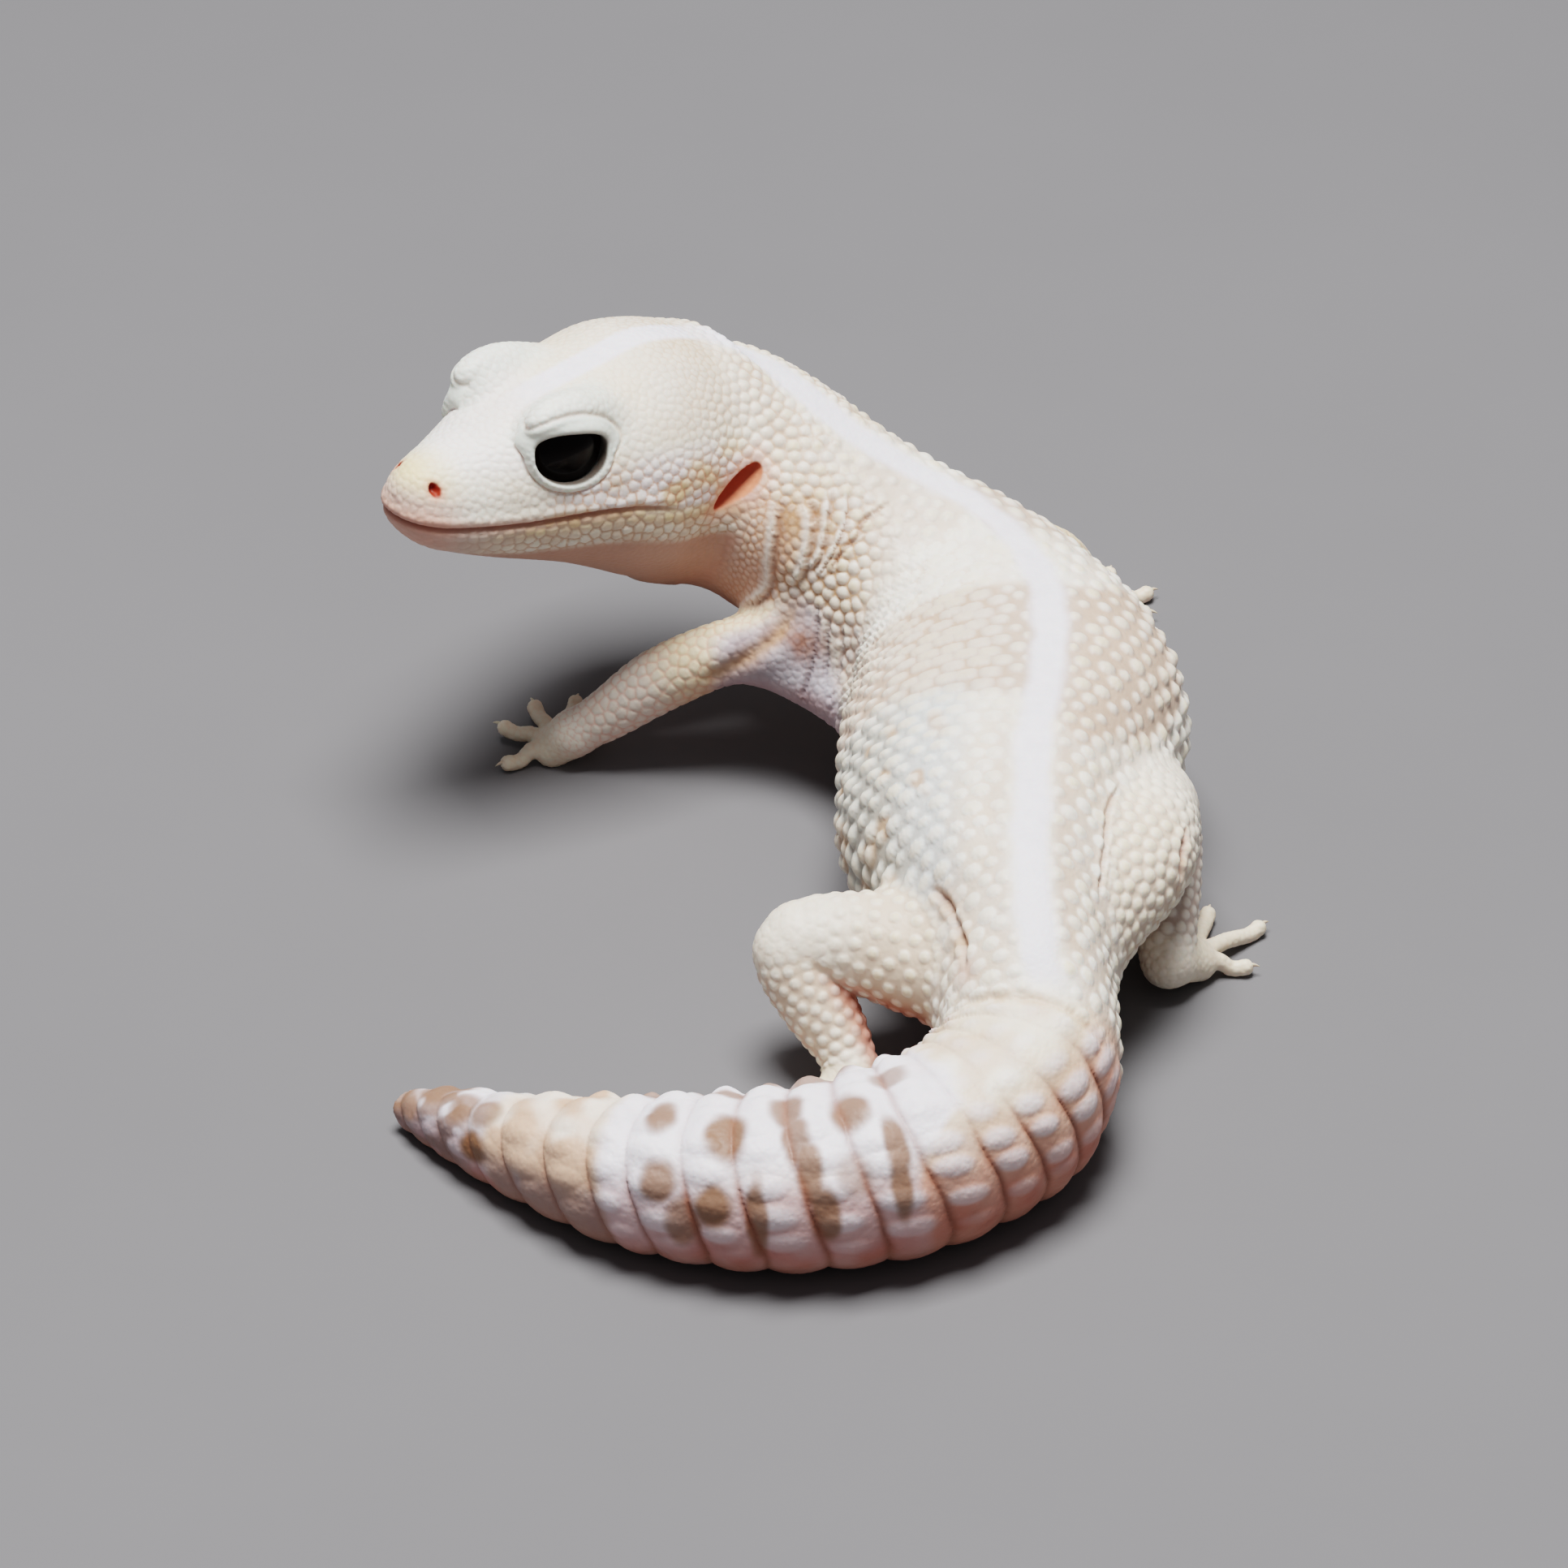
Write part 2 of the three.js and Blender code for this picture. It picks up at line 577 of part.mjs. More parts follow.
// Half a limb: a tapered tube with round ends, thicker by a margin.
function limbTube(joints, margin = 0) {
  const curve = new THREE.CatmullRomCurve3(joints.map((joint) => joint.p));
  const radius = column(joints, "r");
  const rings = Array.from({ length: LIMB_RINGS + 1 }, (_, i) => {
    const share = i / LIMB_RINGS;
    const size = radius(curve.getUtoTmapping(share) * (joints.length - 1)) + margin;
    return limbRing(curve.getPointAt(share), curve.getTangentAt(share), size, LIMB_SIDES);
  });
  const cap = (share, outward) => {
    const travel = curve.getTangentAt(share);
    const size = radius(share * (joints.length - 1)) + margin;
    return ROUND_END.map(([reach, slim]) => {
      const centre = curve.getPointAt(share).addScaledVector(travel, outward * reach * size);
      return limbRing(centre, travel, slim * size, LIMB_SIDES);
    });
  };
  return loft([...cap(0, -1).reverse(), ...rings, ...cap(1, 1)]);
}

// A toe: out over its knuckle, down to the pad, and a small claw to the tip.
function toe(palm, tip) {
  const flat = tip.clone().sub(palm).setZ(0);
  const out = flat.clone().normalize();
  const root = palm.clone().addScaledVector(out, 0.6 * TOE_RADIUS);
  const knuckle = palm.clone().addScaledVector(flat, 0.45).setZ(2 * TOE_RADIUS);
  const nail = tip.clone().addScaledVector(out, -CLAW.length);
  const pad = nail.clone().addScaledVector(out, -1.4 * TOE_RADIUS);
  pad.z = Math.max(0.8 * TOE_RADIUS, tip.z - CLAW.drop / 2);
  const claw = tip.clone().setZ(Math.max(tip.z - CLAW.drop, CLAW.low));
  const curve = new THREE.CatmullRomCurve3([root, knuckle, pad, nail, claw]);
  return loft(
    TOE.map(({ share, wide }) => {
      const [centre, travel] = [curve.getPointAt(share), curve.getTangentAt(share)];
      return limbRing(centre, travel, wide * TOE_RADIUS, TOE_SIDES);
    }),
  );
}

// A hand or foot: a flat sole from the wrist out, with the toes fused to it.
function foot({ lower, palm, toes }) {
  const wrist = lower.at(-1).p;
  const heading = palm.clone().sub(wrist);
  const curve = new THREE.CatmullRomCurve3([
    wrist.clone().addScaledVector(heading, -0.1),
    palm.clone().addScaledVector(heading, -0.25),
    palm.clone().addScaledVector(heading.setZ(0), 0.45),
  ]);
  const rings = SOLE.map(({ share, half, above, below }) => {
    const size = { left: half, right: half, above, below, bottom: 2.3 };
    const way = across(curve.getTangentAt(share));
    return section({ centre: curve.getPointAt(share), ...way, size, sides: LIMB_SIDES });
  });
  return toes.reduce((made, tip) => made.add(toe(palm, tip)), loft(rings));
}

// ---------------------------------------------------------------- assembly
const gecko = new THREE.Group();
const SKIN = { color: 0xece3d2, roughness: 0.75, metalness: 0 };
const PALE = { color: 0xf1ece2, roughness: 0.7, metalness: 0 };
const TAIL = { color: 0xe0c8b6, roughness: 0.7, metalness: 0 };
const BLACK = { color: 0x120b09, roughness: 0.12, metalness: 0 };

// Keeps a node's largest closed body and names it.
function addNode(name, solid, look) {
  const [largest] = solid.decompose().sort((a, b) => b.volume() - a.volume());
  const mesh = new THREE.Mesh(
    toGeometry(largest),
    new THREE.MeshStandardMaterial(look),
  );
  mesh.name = name;
  gecko.add(mesh);
}

const { head, jaw } = headPieces();
const headWorld = (solid) => solid.transform(headTurn.elements);
addNode("head", headWorld(head), PALE);
addNode("lower_jaw", headWorld(jaw), PALE);
for (const [name, side] of [["eye_left", 1], ["eye_right", -1]])
  addNode(name, headWorld(placed(eyeball(0), eyeMatrix(side))), BLACK);

const CUT = 0.05; // half a cut between two lengths of the body, in stations
const LENGTHS = [
  { name: "neck", from: "skull", to: "withers", look: SKIN },
  { name: "chest", from: "withers", to: "ribs", look: SKIN },
  { name: "belly", from: "ribs", to: "groin", look: SKIN },
  { name: "hips", from: "groin", to: "vent", look: SKIN },
  { name: "tail_root", from: "vent", to: "fat of tail 2", look: TAIL },
  { name: "tail_middle", from: "fat of tail 2", to: "taper", look: TAIL },
  { name: "tail_tip", from: "taper", to: "tip", look: TAIL },
];
const headGrown = headWorld(headLoft(GAP, 1));
// Everything before the back of the head, which the neck doesn't reach.
const beforeNeck = headWorld(
  toSolid(
    new THREE.BoxGeometry(HEAD_LENGTH, HEAD_LENGTH, HEAD_LENGTH).translate(
      HEAD_LENGTH * (0.5 + HEAD[0].x) - GAP, 0, 0),
  ),
);
for (const { name, from, to, look } of LENGTHS) {
  const start = stationOf(from) + (from === "skull" ? 0 : CUT);
  const end = stationOf(to) - (to === "tip" ? 0 : CUT);
  const piece = bodyPiece(start, end);
  addNode(name, name === "neck" ? piece.subtract(headGrown).subtract(beforeNeck) : piece, look);
}

const LIMBS = [
  { limb: ARM_LEFT, names: ["arm_left_upper", "arm_left_lower", "hand_left"] },
  { limb: ARM_RIGHT, names: ["arm_right_upper", "arm_right_lower", "hand_right"] },
  { limb: LEG_LEFT, names: ["leg_left_upper", "leg_left_lower", "foot_left"] },
  { limb: LEG_RIGHT, names: ["leg_right_upper", "leg_right_lower", "foot_right"] },
];
for (const { limb, names } of LIMBS) {
  const [upper, lower, sole] = names;
  addNode(upper, limbTube(limb.upper).subtract(bodyGrown), SKIN);
  const knee = limbTube(limb.upper, GAP);
  addNode(lower, limbTube(limb.lower).subtract(bodyGrown).subtract(knee), SKIN);
  const ankle = limbTube(limb.lower, GAP);
  addNode(sole, foot(limb).subtract(ankle).subtract(bodyGrown), SKIN);
}

// The footprint's centre is the origin.
const box = new THREE.Box3().setFromObject(gecko);
const middle = box.getCenter(vec(0, 0, 0));
gecko.position.set(-middle.x, -middle.y, -box.min.z);

export default gecko;
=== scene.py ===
# A leopard gecko in a studio: skin, scales, markings, eyes and claws over the CAD frame.
#
# Lengths are millimetres in the pose frame, whose origin lies under the middle of the
# animal, with +Y along the trunk and +X to its right. The left eye of the frame tells
# how far that is from the part's own origin. The body is described by stations along
# its ridge, the head in shares of its length, and the limbs by chains of joints. All
# of them become distances on one lattice, so that a single skin covers every joint.

import json
import math
from types import SimpleNamespace

import bpy
import numpy as np
import openvdb as vdb
from mathutils import Matrix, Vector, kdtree

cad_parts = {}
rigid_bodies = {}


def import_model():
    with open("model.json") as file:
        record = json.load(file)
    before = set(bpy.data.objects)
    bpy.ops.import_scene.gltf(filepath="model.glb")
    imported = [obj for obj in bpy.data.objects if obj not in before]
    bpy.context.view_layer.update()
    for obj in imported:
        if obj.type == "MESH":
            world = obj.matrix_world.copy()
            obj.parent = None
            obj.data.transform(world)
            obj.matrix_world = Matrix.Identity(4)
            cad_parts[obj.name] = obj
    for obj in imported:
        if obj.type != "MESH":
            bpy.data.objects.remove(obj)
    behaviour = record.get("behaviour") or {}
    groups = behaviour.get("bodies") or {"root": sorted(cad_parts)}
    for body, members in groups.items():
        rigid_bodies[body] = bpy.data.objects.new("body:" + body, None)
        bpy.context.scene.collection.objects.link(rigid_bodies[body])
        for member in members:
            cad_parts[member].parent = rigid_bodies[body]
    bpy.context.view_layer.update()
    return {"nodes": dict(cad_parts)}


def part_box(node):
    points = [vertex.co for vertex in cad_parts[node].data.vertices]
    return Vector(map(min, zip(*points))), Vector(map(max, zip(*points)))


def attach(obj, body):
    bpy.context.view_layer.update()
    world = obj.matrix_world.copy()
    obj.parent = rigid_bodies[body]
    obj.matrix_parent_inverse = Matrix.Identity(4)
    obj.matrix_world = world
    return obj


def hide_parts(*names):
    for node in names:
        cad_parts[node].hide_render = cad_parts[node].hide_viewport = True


for leftover in list(bpy.data.objects):
    bpy.data.objects.remove(leftover)
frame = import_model()

MM = 0.001
VOXEL = 0.125
FAR = 3.0  # distances are only kept this close to a surface
UP = np.array([0.0, 0.0, 1.0])

# ------------------------------------------------------------------ the body's sizes
# Station: ridge x and y, height of the widest line, widths to the animal's left and
# right of the ridge, and depths above and below the widest line.
BODY = {
    "skull": (-9.0, 11.6, 21.0, 6.0, 5.4, 5.4, 9.6),
    "nape": (-5.4, 13.2, 20.0, 7.0, 5.3, 6.7, 10.4),
    "neck": (-1.6, 12.6, 18.4, 7.6, 5.1, 7.1, 9.8),
    "neck root": (2.4, 10.4, 16.4, 8.2, 5.4, 7.0, 9.0),
    "withers": (6.6, 8.0, 14.4, 8.4, 6.2, 7.0, 7.4),
    "shoulder": (10.6, 5.6, 12.6, 9.6, 7.1, 7.7, 8.0),
    "chest": (13.9, 2.0, 11.4, 10.8, 8.1, 8.3, 8.6),
    "ribs": (16.0, -2.8, 10.7, 12.0, 9.5, 8.8, 9.4),
    "waist": (17.0, -8.4, 10.3, 13.2, 10.0, 9.1, 9.6),
    "belly": (17.1, -14.6, 10.0, 13.4, 8.0, 9.2, 9.4),
    "flank": (16.7, -20.6, 9.7, 12.9, 6.4, 9.0, 9.0),
    "groin": (16.2, -26.4, 9.2, 9.8, 5.8, 8.6, 8.2),
    "hip": (16.0, -31.6, 8.6, 6.4, 5.4, 8.0, 7.2),
    "pelvis": (16.2, -36.0, 7.8, 6.2, 5.2, 7.2, 6.4),
    "vent": (16.4, -39.6, 7.0, 6.6, 5.1, 6.2, 6.4),
    "tail root": (15.2, -43.2, 6.4, 7.1, 5.0, 5.9, 6.4),
    "first rings": (12.0, -46.0, 5.9, 7.0, 5.3, 5.6, 6.0),
    "fat of tail": (8.2, -48.0, 5.6, 6.9, 5.8, 5.5, 5.8),
    "fat of tail 2": (3.8, -49.2, 5.4, 6.2, 6.0, 5.4, 5.6),
    "mid tail": (-0.8, -49.6, 5.1, 5.9, 5.8, 5.1, 5.4),
    "mid tail 2": (-5.4, -49.0, 4.8, 5.4, 5.3, 4.8, 5.1),
    "taper": (-9.8, -47.6, 4.3, 4.7, 4.7, 4.3, 4.6),
    "taper 2": (-14.0, -45.3, 3.6, 3.8, 3.8, 3.6, 3.8),
    "taper 3": (-18.2, -42.5, 2.8, 2.8, 2.8, 2.8, 3.0),
    "near tip": (-21.9, -39.6, 2.0, 2.0, 1.9, 2.0, 2.1),
    "tip": (-24.6, -37.4, 1.3, 1.0, 1.0, 1.0, 1.2),
}
BODY_COLUMNS = np.array(list(BODY.values())).T
LAST = len(BODY) - 1
SQUARE_ABOVE, SQUARE_BELOW = 2.15, 2.4
FRAME_REACH = 0.8

# ------------------------------------------------------------------ the head's sizes
HEAD_LENGTH = 24.6
HEAD_AT = np.array([-8.2, 12.0, 22.3])
HEAD_YAW, HEAD_PITCH = 41, 12
# Share of the length, height of the widest line, half width, up, down, squareness.
HEAD = [
    (-0.12, -0.035, 0.285, 0.27, 0.445, 2.1),
    (-0.04, -0.045, 0.315, 0.3, 0.43, 2.1),
    (0.06, -0.06, 0.335, 0.34, 0.395, 2.1),
    (0.18, -0.075, 0.342, 0.363, 0.34, 2.15),
    (0.3, -0.083, 0.326, 0.341, 0.282, 2.2),
    (0.42, -0.083, 0.29, 0.308, 0.239, 2.35),
    (0.54, -0.088, 0.25, 0.277, 0.204, 2.35),
    (0.66, -0.095, 0.21, 0.228, 0.17, 2.2),
    (0.77, -0.1, 0.17, 0.18, 0.135, 2.0),
    (0.86, -0.098, 0.13, 0.145, 0.107, 2.0),
    (0.915, -0.09, 0.094, 0.112, 0.078, 2.0),
    (0.945, -0.08, 0.057, 0.072, 0.05, 2.0),
    (0.957, -0.07, 0.024, 0.03, 0.022, 2.0),
]
HEAD_SQUARE_BELOW = 2.2
MOUTH = [(0.2, -0.085), (0.28, -0.07), (0.35, -0.064), (0.45, -0.07), (0.54, -0.083),
         (0.65, -0.098), (0.75, -0.106), (0.87, -0.113), (1.04, -0.106)]
MOUTH_CORNER = 0.25
EYE_OUT, EYE_ACROSS = 2.1, 2.9
EYE_AT = (0.522, 0.146, 0.086)
EYE_FORWARD, EYE_UP = 16, 8
LID, EYE_GAP = 0.45, 0.05  # how far the lids' skin and their inside stand off the ball
OPENING_HALF, OPENING_UP, OPENING_DOWN = 2.6, 1.5, 2.05
OPENING_SQUARE_UP, OPENING_SQUARE_DOWN = 2.7, 2.05
LID_THICK, LOWER_LID, UPPER_LID = 0.36, 0.52, 1.1
LID_TEETH, TEETH_HEIGHT = 34, 0.03
LID_FURROW = 1.22  # where the furrow round the lids lies, in widths of the lid
BROW_AT, BROW_HALF = (0.51, 0.156, 0.172), (3.7, 1.6, 1.8)
NOSTRIL_AT, NOSTRIL_HALF = (0.893, 0.087, -0.006), (0.34, 0.9, 0.42)
EAR_AT, EAR_HALF, EAR_LEAN = (0.019, 0.335, -0.05), (0.66, 1.9, 2.2), 44

# ------------------------------------------------------------------ the limbs' sizes
# Joints of each limb with radii, the middle of the sole, and the tips of the toes.
LIMBS = {
    "arm_left": {
        "joints": [(7.6, 3.6, 10.8), (3.2, 2.6, 10.6), (-1.2, 2.4, 10.1), (-4.6, 2.6, 9.0),
                   (-8.6, 2.8, 6.7), (-12.0, 2.6, 4.1), (-14.4, 2.7, 2.4)],
        "radii": [4.2, 3.4, 2.25, 2.15, 2.15, 1.75, 1.4],
        "palm": (-15.6, 3.4, 1.1),
        "toes": [(-19.4, 1.4, 0.6), (-19.7, 5.5, 1.0), (-17.4, 8.2, 1.0), (-14.3, 9.2, 0.7),
                 (-12.1, 6.9, 0.6)],
    },
    "arm_right": {
        "joints": [(11.4, 7.0, 12.0), (14.0, 10.0, 11.2), (16.4, 12.6, 10.2), (18.1, 14.8, 8.7),
                   (19.4, 16.8, 6.4), (20.4, 18.0, 4.2), (21.2, 19.0, 2.4)],
        "radii": [3.4, 3.0, 2.4, 2.25, 2.1, 1.75, 1.4],
        "palm": (22.0, 20.2, 1.2),
        "toes": [(25.8, 19.6, 0.6), (26.0, 22.3, 0.6), (23.1, 25.0, 0.6), (19.7, 24.8, 0.6),
                 (17.8, 22.3, 0.6)],
    },
    "leg_left": {
        "joints": [(14.0, -31.8, 7.8), (9.8, -30.8, 8.2), (5.4, -29.8, 8.8), (0.9, -30.0, 8.7),
                   (1.9, -31.8, 6.2), (3.6, -33.6, 4.0), (4.6, -35.4, 2.4)],
        "radii": [3.9, 3.9, 3.4, 2.85, 2.5, 2.0, 1.5],
        "palm": (2.8, -37.6, 1.3),
        "toes": [(4.4, -41.4, 0.6), (-0.5, -41.6, 0.6), (-3.2, -39.9, 0.6), (-3.6, -37.2, 0.6),
                 (-1.0, -35.2, 0.6)],
    },
    "leg_right": {
        "joints": [(17.4, -31.6, 9.0), (20.2, -28.0, 10.4), (22.9, -23.0, 11.0), (24.4, -16.0, 9.8),
                   (25.2, -18.0, 6.2), (25.3, -21.4, 3.9), (25.4, -23.4, 2.5)],
        "radii": [3.2, 3.7, 4.0, 3.1, 2.5, 2.0, 1.6],
        "palm": (27.0, -21.4, 1.4),
        "toes": [(31.2, -21.5, 0.6), (32.1, -16.8, 0.6), (28.5, -15.2, 0.7), (25.0, -16.4, 0.6),
                 (23.6, -19.4, 0.6)],
    },
}
TOE_RADIUS = 0.54
# Thin skin between the left arm and the chest: points and radii of its free edge.
WEB = [((-0.8, 1.9, 8.6), 1.1), ((1.4, 0.4, 8.2), 1.3), ((3.6, -1.2, 8.0), 1.6),
       ((5.6, -2.6, 8.0), 2.0)]

# ------------------------------------------------------------------ how parts meet
# Width of the soft transition where two parts of the skin run into each other.
HARD, HEAD_BLEND, LIMB_BLEND, FOOT_BLEND, WEB_BLEND = 0.01, 2.4, 2.2, 0.8, 2.5
SOLE_BLEND, TOE_BLEND = 0.9, 0.45
BROW_BLEND, EYE_BLEND, LID_BLEND, HOLLOW_BLEND = 1.6, 0.5, 0.14, 0.16

# ------------------------------------------------------------------ the pattern's sizes
# The pale stripe on the ridge: how far right of the ridge it runs, station by station.
STRIPE_SWAY = [(0, 0.3), (2.2, 0.0), (3.0, 0.0), (4.2, 0.7), (5.6, 1.2), (7.0, 1.1), (8.4, 0.4),
               (9.8, -0.4), (11.0, -0.1), (13.3, 0.0), (13.9, 0.6)]
STRIPE_HALF = 1.12
ROW, COLUMN = 1.2, 1.68  # spacing of the back's tubercles along and across it
RING_HEIGHT, KNOB_PITCH = 0.34, 2.1
# Where each ring of the tail begins, in stations, at its lower right side.
RINGS = [13.95, 14.6, 15.15, 15.65, 16.25, 17.0, 17.75, 18.45, 19.15, 19.8, 20.5, 21.05, 21.7,
         22.4, 23.0, 23.6, 24.1, 24.6, 25.1]
RING_LEAN = 0.28
SPOT_REACH = 1.25  # how much larger a spot's soft edge is than its listed size
# Spots of the tail: station, angle round it, half length, half width, strength.
SPOTS = [
    (25.0, 99, 0.9, 1.0, 0.8), (24.0, 93, 1.2, 0.8, 0.7), (23.9, 118, 1.0, 0.7, 0.7),
    (23.4, 69, 0.8, 0.9, 0.8), (22.95, 66, 0.8, 0.75, 0.8), (23.0, 15, 0.9, 0.8, 1.0),
    (20.4, 87, 0.7, 1.0, 0.9), (20.25, 36, 0.85, 0.9, 0.9), (19.95, 5, 0.8, 1.2, 0.8),
    (19.5, 73, 0.95, 1.35, 0.95), (19.6, 19, 0.95, 0.95, 0.95), (19.65, 120, 0.9, 0.6, 0.8),
    (19.12, 12, 0.5, 1.9, 0.9), (18.72, 92, 0.75, 1.1, 0.85), (18.62, 68, 0.65, 1.3, 0.85),
    (18.5, 42, 0.6, 1.5, 0.9), (18.38, 12, 0.65, 1.4, 0.9), (17.9, 84, 0.9, 1.15, 0.9),
    (17.15, 104, 0.9, 0.75, 0.7), (17.45, 55, 0.55, 1.4, 0.9), (17.5, 28, 0.5, 1.8, 0.9),
    (18.0, 38, 0.8, 0.9, 0.5), (18.3, 128, 0.9, 0.7, 0.8), (17.7, 150, 0.8, 1.1, 0.8),
    (19.0, 152, 0.8, 1.2, 0.8), (20.1, 160, 0.8, 1.0, 0.8), (20.9, 140, 0.7, 1.0, 0.8),
    (18.4, 185, 0.8, 1.2, 0.8), (19.5, 195, 0.8, 1.2, 0.8), (22.9, 165, 0.8, 0.8, 0.8),
    (23.8, 175, 0.8, 0.7, 0.8), (24.5, 40, 0.6, 0.6, 0.6),
]
# Soft folds of the neck, each a raised edge with a hollow behind it, the edge lit by a painted highlight
# and the hollow darkened by painted shadow: size, height, places.
FLAPS = [
    (0.9, 0.35, [
        (0.2, 6.6, 19.2), (0.5, 5.8, 17.5), (0.4, 5.2, 15.4), (0.0, 5.0, 13.3), (-0.8, 5.4, 11.4)]),
    (0.9, 0.6, [
        (1.2, 4.4, 20.6), (1.7, 2.9, 19.8), (1.6, 2.2, 18.5), (1.2, 1.7, 16.9), (0.6, 1.9, 15.2)]),
    (0.6, 0.4, [(3.0, 4.6, 21.4), (2.8, 2.9, 19.9), (2.3, 1.5, 18.2), (1.6, 1.5, 16.6)]),
    (0.4, 0.25, [(4.3, 4.7, 21.4), (4.0, 2.6, 20.1), (3.2, 1.6, 18.2), (2.1, 1.2, 16.3)]),
]
# Patches of browner skin on the neck, arm and groin, and two of painted shade in the left armpit: place,
# radius, strength, colour.
PATCHES = [
    ((0.5, 3.4, 19.4), 1.7, 0.8, "ochre"), ((1.6, 3.4, 20.9), 1.6, 0.5, "ochre"),
    ((-2.3, 7.6, 17.0), 2.0, 0.7, "ochre"), ((0.2, 3.0, 17.4), 1.8, 0.8, "tan skin"),
    ((2.6, 2.2, 19.0), 1.2, 0.6, "ochre"), ((-5.4, 9.0, 17.6), 2.0, 0.35, "ochre"),
    ((1.3, 0.1, 12.0), 1.3, 0.7, "crease shade"), ((-2.6, 1.0, 10.0), 1.3, 0.55, "crease shade"),
    ((0.6, 1.6, 13.6), 1.2, 0.5, "ochre"), ((2.2, 0.4, 11.6), 1.4, 0.3, "ochre"),
    ((11.1, -31.7, 13.2), 1.5, 0.6, "ochre"), ((11.6, -35.2, 13.0), 1.3, 0.5, "ochre"),
    ((12.0, -37.6, 12.2), 1.0, 0.5, "raw pink"),
]
# Creases of the skin: width, depth, how strongly and in what colour they show, places. The colour is the
# crease's own browner skin, darkened as painted shade.
CREASES = {
    "neck": (0.14, 0.2, 0.6, "crease shade", [
        (7.4, 4.6, 20.0), (5.4, 2.8, 19.9), (4.9, 1.9, 19.2), (3.7, 1.3, 18.0), (3.0, 0.8, 16.6)]),
    "arm": (0.5, 0.3, 0.7, "ochre", [
        (0.8, 1.6, 13.3), (-0.7, 0.7, 11.6), (-3.5, 0.5, 9.6), (-5.8, 0.6, 8.2)]),
    "first armpit pleat": (0.16, 0.22, 0.4, "purple grey", [
        (2.4, 0.6, 14.9), (2.3, 0.0, 12.4), (2.0, -0.6, 9.6), (1.9, -0.6, 8.0)]),
    "second armpit pleat": (0.16, 0.22, 0.4, "purple grey", [
        (3.2, 0.0, 14.3), (3.1, -0.6, 11.6), (3.0, -1.2, 9.0)]),
    "third armpit pleat": (0.16, 0.18, 0.35, "purple grey", [
        (4.0, -1.0, 14.1), (3.9, -1.6, 12.0), (3.7, -2.0, 9.9)]),
    "left groin": (0.25, 0.35, 0.5, "crease shade", [
        (9.4, -29.8, 13.4), (10.3, -31.6, 13.8), (11.0, -34.0, 13.5), (11.6, -35.9, 13.2),
        (11.9, -37.4, 12.4)]),
    "right thigh": (0.16, 0.22, 0.45, "crease shade", [
        (21.9, -20.9, 15.4), (21.0, -24.4, 15.6), (20.7, -26.8, 15.1), (20.6, -29.8, 14.7),
        (20.4, -31.8, 14.0)]),
    "right knee": (0.25, 0.3, 0.5, "raw pink", [
        (26.2, -22.8, 13.2), (25.8, -25.2, 12.4), (25.2, -26.6, 10.6)]),
    "base of tail": (0.3, 0.2, 0.3, "ochre", [
        (10.6, -39.2, 11.4), (13.2, -40.4, 12.4), (16.2, -41.2, 12.9), (18.0, -41.7, 12.4),
        (19.4, -42.2, 11.4), (20.6, -42.6, 9.6)]),
}

# ------------------------------------------------------------------ the colours, sRGB
COLOURS = {
    "warm white": (0.96, 0.945, 0.915),
    "stripe": (0.945, 0.935, 0.97),
    "cream": (0.935, 0.865, 0.76),
    "head": (0.965, 0.945, 0.90),
    "bluish": (0.79, 0.825, 0.84),
    "tan": (0.80, 0.715, 0.655),
    "tan skin": (0.80, 0.63, 0.52),
    # A bluish grey, darkened as painted shade for the low left flank.
    "grey": (0.66, 0.65, 0.61),
    "yellow": (0.93, 0.83, 0.61),
    "ochre": (0.77, 0.58, 0.41),
    # Painted shade for creases, hollows and openings: a dark reddish brown.
    "crease shade": (0.53, 0.28, 0.18),
    # Painted shade of the undersides: a darker pinkish brown laid where the light doesn't reach.
    "underside shade": (0.75, 0.56, 0.49),
    "lavender": (0.72, 0.67, 0.74),
    "pink": (0.90, 0.62, 0.54),
    # A raw pink, also laid as painted shade on the lower side of the tail and the left leg.
    "raw pink": (0.72, 0.39, 0.32),
    "tail white": (0.94, 0.925, 0.955),
    "spot": (0.54, 0.385, 0.28),
    "groove": (0.57, 0.33, 0.24),
    "lid": (0.90, 0.92, 0.89),
    "brown": (0.25, 0.16, 0.10),
    "red": (0.62, 0.19, 0.10),
    "ear": (0.86, 0.53, 0.41),
    "purple grey": (0.53, 0.45, 0.47),
    "claw": (0.86, 0.80, 0.70),
    "eye": (0.035, 0.022, 0.02),
    "iris": (0.16, 0.08, 0.05),
    "floor": (0.43, 0.428, 0.438),
}


def linear(srgb):
    srgb = np.asarray(srgb, float)
    return np.where(srgb <= 0.04045, srgb / 12.92, ((srgb + 0.055) / 1.055) ** 2.4)


PAINT = {name: linear(colour) for name, colour in COLOURS.items()}


# ------------------------------------------------------------------ small functions
def spline(values, index):
    """The smooth curve through values that stand at whole indices."""
    v, index = np.asarray(values, float), np.asarray(index, float)
    i = np.clip(np.floor(index).astype(int), 0, len(v) - 2)
    t = index - i
    a, b = v[i], v[i + 1]
    start, end = (b - v[np.maximum(i - 1, 0)]) / 2, (v[np.minimum(i + 2, len(v) - 1)] - a) / 2
    return ((2 * a - 2 * b + start + end) * t + 3 * b - 3 * a - 2 * start - end) * t**2 + start * t + a


def unit(v):
    return v / np.maximum(np.linalg.norm(v, axis=-1, keepdims=True), 1e-9)


def smooth(low, high, value):
    t = np.clip((value - low) / (high - low), 0, 1)
    return t * t * (3 - 2 * t)


def within(low, high, value, soft):
    """1 between two limits, fading over a soft edge at each."""
    half = soft / 2
    return smooth(low - half, low + half, value) * (1 - smooth(high - half, high + half, value))


def bump(value, middle, half):
    """1 at a middle value, fading like a bell on both sides of it."""
    return np.exp(-(((value - middle) / half) ** 2))


def along_table(table, value):
    """What a table of pairs has beside a value."""
    return np.interp(value, *zip(*table))


